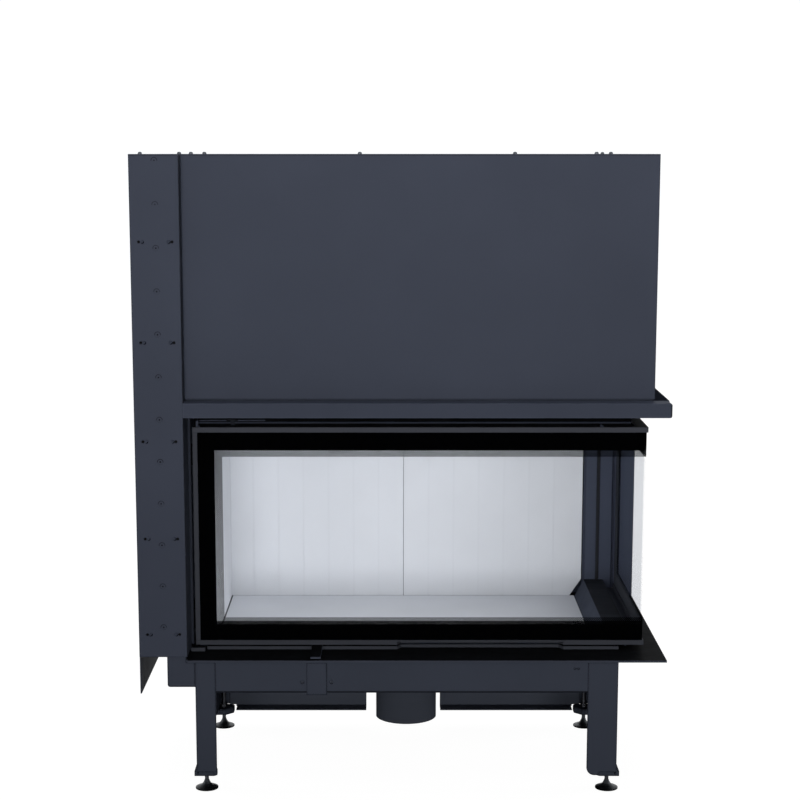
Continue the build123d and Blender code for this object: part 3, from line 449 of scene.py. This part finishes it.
def shade_black(name, color=NEAR_BLACK, lit_color=None, before=None):
    """Near-black streaked steel, as painted shade behind the door. What stands in front of the
    depth before keeps its paint.
    """
    n = Nodes(name)
    streak = n.cloud(25.0, 3.0, (1, 1, 0.3))
    tone = n.blend(streak, scaled(color, 0.7), scaled(color, 1.7))
    if lit_color:
        lit = n.math("LESS_THAN", n.axes()["Y"], before)
        tone = n.blend(lit, tone, lit_color)
    sheen = n.span(n.noise(60.0, 2.0), 0.6, 0.8)
    normal = n.bump(n.noise(600.0, 2.0), 0.3, 0.15 * MM)
    return n.done(n.principled(tone, sheen, 0.0, normal, 0.0))


def head_shade_paint(name, color):
    """Painted screw head, with painted shade on the side that turns down and to the right."""
    n = Nodes(name)
    facing = n.facing()
    low = n.span(n.math("SUBTRACT", facing["X"], facing["Z"]), 0.0, 1.0, 0.3, 0.5)
    tone = n.blend(n.cloud(300.0), scaled(color, 0.9), scaled(color, 1.05))
    tone = n.blend(low, tone, scaled(color, HEAD_SHADE_SHARE))
    sheen = n.span(n.noise(60.0, 2.0), 0.5, 0.6)
    normal = n.bump(n.noise(900.0, 2.0), 0.25, 0.1 * MM)
    return n.done(n.principled(tone, sheen, 0.0, normal, 0.0))


def ceramic(name, color):
    """Pressed pale board: fine grain, faint blotches and slightly greyed edges."""
    n = Nodes(name)
    tone = n.blend(n.cloud(7.0, 4.0), scaled(color, 0.965), scaled(color, 1.02))
    grain = n.span(n.noise(500.0, 2.0), 0.0, 0.4, 0.55, 0.75)
    tone = n.blend(grain, tone, scaled(color, 0.94))
    # Darker along the board's edges and in its grooves.
    tone = n.blend(n.edge(EDGE_TONE_RADIUS), tone, scaled(color, 0.88))
    normal = n.bump(n.noise(450.0, 3.0), 0.35, 0.3 * MM)
    return n.done(n.principled(tone, 0.9, 0.0, normal, 0.1))


def steel(name, color, rough=0.35):
    """Plated steel with fine drawn lines and bright worn edges."""
    n = Nodes(name)
    tone = n.blend(n.cloud(60.0), scaled(color, 0.85), scaled(color, 1.1))
    tone = n.blend(n.edge(STEEL_WEAR_RADIUS), tone, scaled(color, 1.5))
    drawn = n.noise(300.0, 2.0, stretch=(1, 1, 0.05))
    sheen = n.span(drawn, rough - 0.08, rough + 0.1)
    return n.done(n.principled(tone, sheen, 0.9, n.bump(drawn, 0.2, 0.05 * MM)))


def foot_steel(name):
    """Satin bell with a black rubber rim, a threaded stud and a dark nut."""
    n = Nodes(name)
    height = n.axes()["Z"]
    cloud = n.cloud(90.0)
    bell = n.blend(cloud, *BELL)
    stud = n.blend(cloud, *STUD)
    above = n.math("GREATER_THAN", height, STUD_BOTTOM)
    rubber = n.math("LESS_THAN", height, RIM_TOP)
    tone = n.blend(above, bell, stud)
    tone = n.blend(rubber, tone, RUBBER)
    turns = n.math("SINE", n.math("MULTIPLY", height, 2 * math.pi / THREAD_PITCH))
    threaded = n.math("MULTIPLY", turns, above)
    drawn = n.noise(400.0, 2.0, stretch=(1, 1, 0.1))
    normal = n.bump(n.math("ADD", threaded, drawn), 0.4, 0.2 * MM)
    metal = n.principled(tone, n.span(drawn, 0.3, 0.45), 0.85, normal)
    rim = n.principled(RUBBER, 0.8, 0.0, normal, 0.0)
    return n.done(n.mix(rubber, metal, rim))


def rope_seal(name, color):
    """Woven glass-fibre rope: slanting strands over a soft grain."""
    n = Nodes(name)
    axes = n.axes()
    slant = n.math("ADD", n.math("ADD", axes["X"], axes["Y"]), axes["Z"])
    strand = n.math("ABSOLUTE", n.math("SINE", n.math("MULTIPLY", slant, ROPE_STRANDS)))
    tone = n.blend(strand, scaled(color, 0.6), scaled(color, 1.1))
    height = n.math("ADD", strand, n.noise(900.0, 2.0))
    return n.done(n.principled(tone, 0.95, 0.0, n.bump(height, 0.6, 0.4 * MM), 0.1))


def glass_material(name, across, outward, borders, back=None, tinted_before=None):
    """Clear pane. Its outer face carries a black printed border that breaks into dots inwards.

    across is the axis along the pane, and outward the axis and sign of its outer face, with the
    middle of its thickness. back is the colour in which the border shows on the inner face, and
    the inner face is tinted where across lies before tinted_before.
    """
    n = Nodes(name)
    axes = n.axes()
    solid = 0.0
    merged = 0.0
    dotted = 0.0
    for axis, place, sign, (width, dense, band) in borders:
        from_end = n.math("MULTIPLY", n.math("SUBTRACT", axes[axis], place), sign)
        inside = n.math("SUBTRACT", from_end, width)
        solid = n.math("MAXIMUM", solid, n.math("LESS_THAN", inside, 0.0))
        merged = n.math("MAXIMUM", merged, n.math("LESS_THAN", inside, dense))
        dotted = n.math("MAXIMUM", dotted, n.math("LESS_THAN", inside, dense + band))
    u = n.math("DIVIDE", n.math("ADD", axes[across], axes["Z"]), DOT_PITCH)
    v = n.math("DIVIDE", n.math("SUBTRACT", axes[across], axes["Z"]), DOT_PITCH)
    u = n.math("SUBTRACT", n.math("FRACT", u), 0.5)
    v = n.math("SUBTRACT", n.math("FRACT", v), 0.5)
    length = n.length(u, v)
    dot = n.math("MULTIPLY", n.math("LESS_THAN", length, DOT_RADIUS), dotted)
    wide_dot = n.math("MULTIPLY", n.math("LESS_THAN", length, MERGED_RADIUS), merged)
    dot = n.math("MAXIMUM", dot, wide_dot)
    axis, sign, middle = outward
    from_middle = n.math("MULTIPLY", n.math("SUBTRACT", axes[axis], middle), sign)
    outer = n.math("GREATER_THAN", from_middle, 0.0)
    ink = n.math("MAXIMUM", solid, dot)
    if back is None:
        ink = n.math("MULTIPLY", ink, outer)
    inner = n.math("SUBTRACT", 1.0, outer)
    if tinted_before is not None:
        inner = n.math("MULTIPLY", inner, n.math("LESS_THAN", axes[across], tinted_before))
    haze = n.span(n.noise(6.0, 3.0), 0.0, 1.0, 0.35, 0.65)
    tint = n.blend(haze, scaled(PANE_TINT, 0.99), scaled(PANE_TINT, 1.01))
    clear = n.add("ShaderNodeBsdfTransparent")
    n.link(n.blend(inner, PANE_CLEAR, tint), clear.inputs[0])
    grain = n.cloud(220.0)
    black = n.blend(grain, INK_DARK, INK_LIGHT)
    if back is not None:
        behind = n.blend(grain, scaled(back, 0.9), scaled(back, 1.1))
        black = n.blend(outer, behind, black)
    enamel = n.principled(black, 0.3, specular=0.0)
    shine = n.add("ShaderNodeBsdfGlossy")
    n.feed(shine.inputs["Roughness"], n.span(n.noise(3.0, 2.0), 0.01, 0.03))
    grazing = n.add("ShaderNodeLayerWeight")
    grazing.inputs["Blend"].default_value = 0.5
    share = n.math("MULTIPLY", n.math("POWER", grazing.outputs["Facing"], 4.0), PANE_SHINE)
    pane = n.mix(ink, clear.outputs[0], enamel)
    return n.done(n.mix(share, pane, shine.outputs[0]))


def make_materials():
    """Gives every node its material, and returns those that the fine pieces use."""
    ledge_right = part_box("ledge_front")[1].x
    ledge_shade_rim = ("X", ledge_right - 3.2 * MM, ledge_right - 2.0 * MM)
    apron_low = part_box("front_apron")[0]
    apron_shade_rim = ("Z", apron_low.z + 4.0 * MM, apron_low.z + 2.6 * MM)
    lip_end = LINTEL_LOW.y + LINTEL_LIP_DEPTH
    no_shine = {"specular": 0.0}
    on_stand = {"specular": 0.0, "outline": 0.22}
    on_door = {"rough": 0.45, "specular": 0.01, "outline": 0.75}
    casing = painted("casing_paint", CASING)
    column = painted("column_paint", CASING, marks=True, front=FRONT_Y)
    column_screw = head_shade_paint("column_screw_shade_paint", CASING)
    # Casing paint darkened as painted shade on the column's inner panel.
    inner = painted("column_inner_shade_paint", scaled(CASING, 0.3))
    # Casing paint darkened as painted shade, for the column's edge strip and the folds behind the
    # ledge's gap.
    edge_strip = painted("casing_shade_paint", scaled(CASING, 0.62))
    # Painted shade on the faces that look along +X, the left side panel's inner face.
    side = painted("column_side_shade_paint", CASING, specular=0.02, painted_facing_light=("X", 1, 0.34))
    # The ledge: its top lighter as painted light, a painted highlight along its edges and a dark
    # rim of painted shade at its right end.
    ledge = painted(
        "ledge_light_and_shade_paint", CASING, specular=0.012, painted_facing_light=("Z", 1, 1.3), outline=1.4, end=ledge_shade_rim
    )
    # Painted shade on the upward faces of the ledge's right piece.
    ledge_side = painted("ledge_side_shade_paint", CASING, painted_facing_light=("Z", 1, 0.42), outline=0.9, **no_shine)
    # Stand and apron: a dark outline of painted shade on the edges; the apron also has a dark rim
    # of painted shade along its bottom and black holes.
    stand = painted("stand_paint", STAND, reach=STAND_EDGE_RADIUS, **on_stand)
    apron = painted("apron_paint", STAND, end=apron_shade_rim, front=apron_low.y, **on_stand)
    door = painted("door_paint", DOOR, **on_door)
    # Painted shade on the upward faces of the door's top rail and of the sill, which both take
    # lighter copies of the door paint.
    door_top = painted("door_top_shade_paint", scaled(DOOR, 1.12), painted_facing_light=("Z", 1, 0.12), **on_door)
    sill = painted(
        "sill_shade_paint", scaled(DOOR, 1.05), specular=0.0, painted_facing_light=("Z", 1, 0.1), outline=0.75
    )
    # Lighter copies of the casing paint, as painted light on the rear column's strip and cover and
    # on the rear carriage and guide rail, which lie in shade behind the glass.
    strip = painted("strip_paint", scaled(CASING, 1.3), **no_shine)
    cover = painted("rear_cover_light_paint", scaled(CASING, 1.75), **no_shine)
    groove = painted("groove_light_paint", scaled(CASING, 1.6), **no_shine)
    # Painted light: the skirt and spigot, in the stand's shade, take a lighter copy of the stand's
    # paint.
    skirt = painted("skirt_lit_paint", SKIRT_LIT, **no_shine)
    spigot = painted("spigot_lit_paint", scaled(SKIRT_LIT, 0.82), **no_shine)
    # Dark steel; on the air box and firebox tray it also stands as painted shade behind the apron's
    # holes.
    dark = painted("dark_paint", DARK_STEEL, 0.5, **no_shine)
    hidden = shade_black("sooted_steel")
    lintel = shade_black("lintel_steel", lit_color=scaled(CASING, 0.6), before=lip_end)
    shade_top = shade_topped("black_topped_paint")
    kerb = shade_topped("kerb_paint", KERB_TOP_SHADE)
    board = ceramic("lining_board", BOARD)
    zinc = steel("zinc_steel", ZINC)
    foot = foot_steel("foot_steel")
    screw = steel("screw_steel", SCREW_STEEL, 0.4)
    seal = rope_seal("seal_rope", SEAL_ROPE)
    cord = rope_seal("cord_rope", CORD_ROPE)
    front_pane = glass_material(
        "front_pane_glass",
        "X",
        ("Y", -1, (PANE_LOW.y + PANE_HIGH.y) / 2),
        (
            ("Z", PANE_HIGH.z, -1, BORDER_TOP),
            ("Z", PANE_LOW.z, 1, BORDER_BOTTOM),
            ("X", PANE_LOW.x, 1, BORDER_SIDE),
        ),
        tinted_before=SIDE_LOW.x,
    )
    side_pane = glass_material(
        "side_pane_glass",
        "Y",
        ("X", 1, (SIDE_LOW.x + SIDE_HIGH.x) / 2),
        (
            ("Z", SIDE_HIGH.z, -1, SIDE_BORDER_TOP),
            ("Z", SIDE_LOW.z, 1, BORDER_BOTTOM),
            ("Y", SIDE_HIGH.y, -1, BORDER_SIDE),
        ),
        BORDER_BACK,
    )
    groups = (
        (front_pane, ("front_glass",)),
        (side_pane, ("side_glass",)),
        (shade_top, ("base_plate", "air_slide")),
        (kerb, ("side_kerb",)),
        (ledge, ("ledge_front",)),
        (ledge_side, ("ledge_right",)),
        (column, ("column_front_panel",)),
        (side, ("left_side_panel",)),
        (inner, ("column_inner_panel",)),
        (strip, ("rear_column_strip",)),
        (cover, ("rear_column_cover",)),
        (lintel, ("door_lintel",)),
        (hidden, ("left_carriage", "left_guide_rail", "firebox_left_wall", "firebox_roof")),
        (stand, ("front_left_leg", "front_right_leg", "rear_legs", "stand_side_rails")),
        (stand, ("left_lower_plate", "lever_cover")),
        (apron, ("front_apron",)),
        (dark, ("air_box", "firebox_tray")),
        (skirt, ("rear_skirt",)),
        (spigot, ("air_spigot",)),
        (board, ("hearth_slab", "baffle_plate", "left_lining")),
        (board, ("rear_lining_left", "rear_lining_right")),
        (zinc, ("left_counterweight", "rear_counterweight")),
        (zinc, ("left_pulley", "rear_pulley", "pulley_brackets")),
        (zinc, ("cable_wraps", "door_cable_strands", "weight_cable_strands")),
        (foot, ("foot_front_left", "foot_front_right", "foot_rear_left", "foot_rear_right")),
        (door, ("door_bottom_rail", "door_left_stile")),
        (door_top, ("door_top_rail",)),
        (sill, ("door_sill_strip",)),
        (groove, ("rear_carriage", "rear_guide_rail")),
        (screw, ("casing_fasteners",)),
        (seal, ("frame_seals",)),
    )
    found = {}
    for material, names in groups:
        for name in names:
            found[name] = material
    for name, obj in frame["nodes"].items():
        obj.data.materials.clear()
        obj.data.materials.append(found.get(name, casing))
    return {
        "casing": casing,
        "dark": dark,
        "screw": screw,
        "cord": cord,
        "cable": zinc,
        "edge": edge_strip,
        "heads": column_screw,
    }


# Fine pieces
def from_front(depth):
    return FRONT_Y + depth


def new_object(name, mesh, material, soften=0.0):
    """Puts a bmesh into the scene, with its edges rounded by soften."""
    bmesh.ops.recalc_face_normals(mesh, faces=mesh.faces)
    data = bpy.data.meshes.new(name)
    mesh.to_mesh(data)
    mesh.free()
    data.materials.append(material)
    obj = bpy.data.objects.new(name, data)
    bpy.context.scene.collection.objects.link(obj)
    if soften:
        rounding = obj.modifiers.new("rounding", "BEVEL")
        rounding.width = soften
        rounding.segments = 2
        rounding.limit_method = "ANGLE"
    return obj


def drawn_out(name, profile, axis, start, stop, material, body, soften=SOFTENED):
    """A flat profile drawn out along one axis. Its points are the other two axes in order."""
    mesh = bmesh.new()
    rings = []
    for along in (start, stop):
        ring = []
        for a, b in profile:
            point = {"X": (along, a, b), "Y": (a, along, b), "Z": (a, b, along)}[axis]
            ring.append(mesh.verts.new(point))
        rings.append(ring)
    count = len(profile)
    for i in range(count):
        after = (i + 1) % count
        mesh.faces.new((rings[0][i], rings[0][after], rings[1][after], rings[1][i]))
    mesh.faces.new(rings[0])
    mesh.faces.new(rings[1])
    obj = new_object(name, mesh, material, soften)
    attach(obj, body)


def lintel_strips(material):
    """Two folded strips above the lintel's lip."""
    z0, z1 = LINTEL_STRIP_HEIGHT
    front, back = (LINTEL_LOW.y + depth for depth in LINTEL_STRIP_DEPTH)
    y1 = front + THIN_SHEET
    z2 = z0 + THIN_SHEET
    profile = ((front, z0), (back, z0), (back, z2), (y1, z2), (y1, z1), (front, z1))
    for i, (x0, x1) in enumerate(LINTEL_STRIPS):
        drawn_out("lintel_strip_%d" % i, profile, "X", x0, x1, material, "frame")


def lintel_clip(material):
    """Flat spring clip on the lintel's lip."""
    profile = [(x * MM, z * MM) for x, z in CLIP_OUTLINE]
    y1 = LINTEL_LOW.y
    drawn_out("lintel_clip", profile, "Y", y1 - CLIP_THICKNESS, y1, material, "frame")


def door_catches(material):
    """Upright catch and low hook on the door's top rail."""
    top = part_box("door_top_rail")[1].z
    y0, y1 = (from_front(depth) for depth in CATCH_DEPTH)
    for name, outline in (("door_catch", CATCH_OUTLINE), ("door_hook", HOOK_OUTLINE)):
        profile = [(x * MM, top + z * MM) for x, z in outline]
        drawn_out(name, profile, "Y", y0, y1, material, "door")


def gap_folds(material):
    """Folded lips behind the gap between the upper panels and the ledge."""
    panel_low, panel_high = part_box("upper_front_panel")
    side_low, side_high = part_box("upper_right_panel")
    y0 = panel_high.y + FINE_GAP
    y1 = y0 + THIN_SHEET
    x1 = side_low.x - FINE_GAP
    x0 = x1 - THIN_SHEET
    z0 = panel_low.z - FOLD_BELOW
    z1 = panel_low.z + FOLD_ABOVE
    left = panel_low.x + 2.0 * MM
    front = ((y0, z0), (y1, z0), (y1, z1), (y0, z1))
    drawn_out("front_fold", front, "X", left, x0 - 2 * FINE_GAP, material, "frame")
    side = ((x0, z0), (x1, z0), (x1, z1), (x0, z1))
    drawn_out("side_fold", side, "Y", y0, side_high.y - 6.0 * MM, material, "frame")


def column_edge_strip(material):
    """Folded strip behind the column's inner panel, beside the door."""
    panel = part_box("column_inner_panel")[1]
    x0 = panel.x - 2.0 * MM
    x1 = panel.x + 3.2 * MM
    x2 = panel.x + 5.1 * MM
    y0 = panel.y + 0.3 * MM
    y1 = y0 + THIN_SHEET
    y2 = y0 + 8.0 * MM
    profile = ((x0, y0), (x2, y0), (x2, y2), (x1, y2), (x1, y1), (x0, y1))
    z0, z1 = EDGE_STRIP_HEIGHT
    drawn_out("column_edge_strip", profile, "Z", z0, z1, material, "frame")


def rear_cord(material):
    """Dark sealing cord in the rear column strip's joint, which also stands in for the joint's
    shade.
    """
    x0 = STRIP_LOW.x + CORD_FROM_LEFT
    middle = x0 + CORD_WIDTH / 2
    half = CORD_WIDTH / 2 - FINE_GAP
    flat = STRIP_LOW.y + CORD_BEHIND_FACE
    profile = []
    for i in range(CORD_STEPS + 1):
        turn = math.pi * i / CORD_STEPS
        profile.append((middle - half * math.cos(turn), flat - CORD_BULGE * math.sin(turn)))
    z0, z1 = CORD_HEIGHT
    drawn_out("rear_cord", profile, "Z", z0, z1, material, "frame", 0.0)


def door_cables(material):
    """The door's two cables as twisted rope."""
    low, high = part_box("door_cable_strands")
    length = high.z - low.z
    steps = round(length / CABLE_STEP)
    count = 2 * CABLE_STRANDS
    left = (low.x + CABLE_RADIUS, low.y + CABLE_RADIUS)
    rear = (high.x - CABLE_RADIUS, high.y - CABLE_RADIUS)
    mesh = bmesh.new()
    for x, y in (left, rear):
        rings = []
        for i in range(steps + 1):
            up = length * i / steps
            ring = []
            for k in range(count):
                turn = 2 * math.pi * (k / count + up / CABLE_LAY)
                out = CABLE_RADIUS - CABLE_GROOVE * (k % 2)
                point = (x + out * math.cos(turn), y + out * math.sin(turn), low.z + up)
                ring.append(mesh.verts.new(point))
            rings.append(ring)
        for lower, upper in zip(rings, rings[1:]):
            for k in range(count):
                after = (k + 1) % count
                mesh.faces.new((lower[k], lower[after], upper[after], upper[k]))
        mesh.faces.new(rings[0])
        mesh.faces.new(rings[-1])
    obj = new_object("door_cables", mesh, material)
    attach(obj, "frame")
    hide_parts("door_cable_strands")
    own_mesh(obj)


def separate_boxes(obj):
    """The box of every loose solid in a node's mesh, in the order of its vertices."""
    mesh = bmesh.new()
    mesh.from_mesh(obj.data)
    bmesh.ops.remove_doubles(mesh, verts=mesh.verts, dist=LOOSE_GAP)
    left = set(mesh.verts)
    boxes = []
    for start in mesh.verts:
        if start not in left:
            continue
        left.discard(start)
        todo = [start]
        spots = []
        while todo:
            vertex = todo.pop()
            spots.append(vertex.co.copy())
            for edge in vertex.link_edges:
                other = edge.other_vert(vertex)
                if other in left:
                    left.discard(other)
                    todo.append(other)
        low = Vector([min(p[i] for p in spots) for i in range(3)])
        high = Vector([max(p[i] for p in spots) for i in range(3)])
        boxes.append((low, high))
    mesh.free()
    return boxes


def hexagon_reach(turn):
    """How far a hexagon of unit inner radius reaches at an angle."""
    sixth = math.pi / 3
    return 1 / math.cos((turn + sixth / 2) % sixth - sixth / 2)


def add_head(mesh, middle, radius, height, out, up, across, floor=SOCKET_FLOOR, slot=0):
    """A domed head with a hexagon socket, on the plane through middle, facing out.

    floor is the height of the socket's floor as a share of the head's, and slot its material.
    """

    def ring(share, rise, hexagon=False):
        spots = []
        for i in range(HEAD_SEGMENTS):
            turn = 2 * math.pi * i / HEAD_SEGMENTS
            reach = radius * share * (hexagon_reach(turn) if hexagon else 1)
            offset = across * (reach * math.cos(turn)) + up * (reach * math.sin(turn))
            spots.append(mesh.verts.new(middle + offset + out * (height * rise)))
        return spots

    rings = [ring(share, rise) for share, rise in HEAD_PROFILE]
    rings.append(ring(SOCKET_SHARE, 1.0, True))
    rings.append(ring(SOCKET_SHARE, floor, True))
    before = len(mesh.faces)
    for low, high in zip(rings, rings[1:]):
        for i in range(HEAD_SEGMENTS):
            after = (i + 1) % HEAD_SEGMENTS
            mesh.faces.new((low[i], low[after], high[after], high[i]))
    mesh.faces.new(rings[0])
    mesh.faces.new(rings[-1])
    mesh.faces.ensure_lookup_table()
    for face in mesh.faces[before:]:
        face.material_index = slot


def fastener_heads(material, front_material):
    """Socket heads in place of the plain ones, on the column's front and on the top."""
    mesh = bmesh.new()
    forward = Vector((0, -1, 0))
    sideways = Vector((1, 0, 0))
    backward = Vector((0, 1, 0))
    upward = Vector((0, 0, 1))
    for low, high in separate_boxes(frame["nodes"]["casing_fasteners"]):
        size = high - low
        middle = (low + high) / 2
        radius = size.x / 2
        if low.z > COLUMN_HIGH.z:
            middle.z = low.z
            add_head(mesh, middle, radius, size.z, upward, backward, sideways)
        else:
            middle.y = high.y
            add_head(mesh, middle, radius, size.y, forward, upward, sideways, FRONT_FLOOR, 1)
    obj = new_object("fastener_heads", mesh, material)
    obj.data.materials.append(front_material)
    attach(obj, "frame")
    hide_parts("casing_fasteners")


def floor():
    """Wide floor, white to the camera and in reflections, that keeps the object's soft shadow."""
    mesh = bpy.data.meshes.new("floor")
    side = FLOOR_SIDE
    corners = [(-side, -side, 0), (side, -side, 0), (side, side, 0), (-side, side, 0)]
    mesh.from_pydata(corners, [], [(0, 1, 2, 3)])
    obj = bpy.data.objects.new("floor", mesh)
    bpy.context.scene.collection.objects.link(obj)
    n = Nodes("floor_white")
    path = n.add("ShaderNodeLightPath").outputs
    seen = n.math("MAXIMUM", path["Is Camera Ray"], path["Is Glossy Ray"])
    seen = n.math("MAXIMUM", seen, path["Is Transmission Ray"])
    glow = n.add("ShaderNodeEmission")
    glow.inputs[0].default_value = (1, 1, 1, 1)
    axes = n.axes()
    squares = n.math("ADD", n.math("POWER", axes["X"], 2.0), n.math("POWER", axes["Y"], 2.0))
    away = n.math("SQRT", squares)
    n.link(n.span(away, FLOOR_GLOW, 1.0, FLOOR_NEAR, FLOOR_FAR), glow.inputs[1])
    matte = n.add("ShaderNodeBsdfDiffuse")
    grain = n.blend(n.noise(3.0, 2.0), (0.5, 0.5, 0.5), (0.52, 0.52, 0.52))
    n.link(n.blend(seen, grain, FLOOR_SHADE), matte.inputs[0])
    both = n.add("ShaderNodeAddShader")
    n.link(matte.outputs[0], both.inputs[0])
    n.link(glow.outputs[0], both.inputs[1])
    obj.data.materials.append(n.done(n.mix(seen, matte.outputs[0], both.outputs[0])))


def world():
    """White where the camera sees it, a soft even light elsewhere."""
    sky = bpy.data.worlds.new("studio")
    bpy.context.scene.world = sky
    sky.use_nodes = True
    tree = sky.node_tree
    background = tree.nodes["Background"]
    background.inputs[0].default_value = WORLD_COLOR
    path = tree.nodes.new("ShaderNodeLightPath")
    seen = path.outputs["Is Camera Ray"]
    for kind in ("Is Transmission Ray", "Is Glossy Ray"):
        either = tree.nodes.new("ShaderNodeMath")
        either.operation = "MAXIMUM"
        tree.links.new(seen, either.inputs[0])
        tree.links.new(path.outputs[kind], either.inputs[1])
        seen = either.outputs[0]
    strength = tree.nodes.new("ShaderNodeMapRange")
    strength.inputs["To Min"].default_value = WORLD_STRENGTH
    strength.inputs["To Max"].default_value = WHITE_STRENGTH
    tree.links.new(seen, strength.inputs["Value"])
    tree.links.new(strength.outputs[0], background.inputs[1])


def area_light(name, place, target, size, power, spread):
    data = bpy.data.lights.new(name, "AREA")
    data.spread = spread
    data.shape = "RECTANGLE"
    data.size, data.size_y = size
    data.energy = power
    obj = bpy.data.objects.new(name, data)
    obj.location = place
    direction = Vector(target) - Vector(place)
    obj.rotation_euler = direction.to_track_quat("-Z", "Y").to_euler()
    obj.visible_camera = False
    bpy.context.scene.collection.objects.link(obj)


def camera():
    data = bpy.data.cameras.new("camera")
    data.sensor_width = SENSOR
    data.lens = FOCAL_PIXELS / IMAGE_SIDE * SENSOR
    middle = IMAGE_SIDE / 2
    data.shift_x = (middle - AXIS_PIXEL_X) / IMAGE_SIDE
    data.shift_y = (AXIS_PIXEL_Y - middle) / IMAGE_SIDE
    data.clip_end = FAR_CLIP
    obj = bpy.data.objects.new("camera", data)
    obj.location = (COLUMN_LOW.x + CAMERA_FROM_LEFT, FRONT_Y - CAMERA_BACK, CAMERA_HEIGHT)
    obj.rotation_euler = (math.radians(90) - TILT_DOWN, 0, 0)
    bpy.context.scene.collection.objects.link(obj)
    bpy.context.scene.camera = obj


camera()
world()
floor()
materials = make_materials()
lintel_strips(materials["casing"])
lintel_clip(materials["dark"])
door_catches(materials["casing"])
column_edge_strip(materials["edge"])
rear_cord(materials["cord"])
door_cables(materials["cable"])
gap_folds(materials["edge"])
fastener_heads(materials["screw"], materials["heads"])
for lamp in LAMPS:
    area_light(*lamp)
bpy.context.scene.view_settings.view_transform = "Standard"
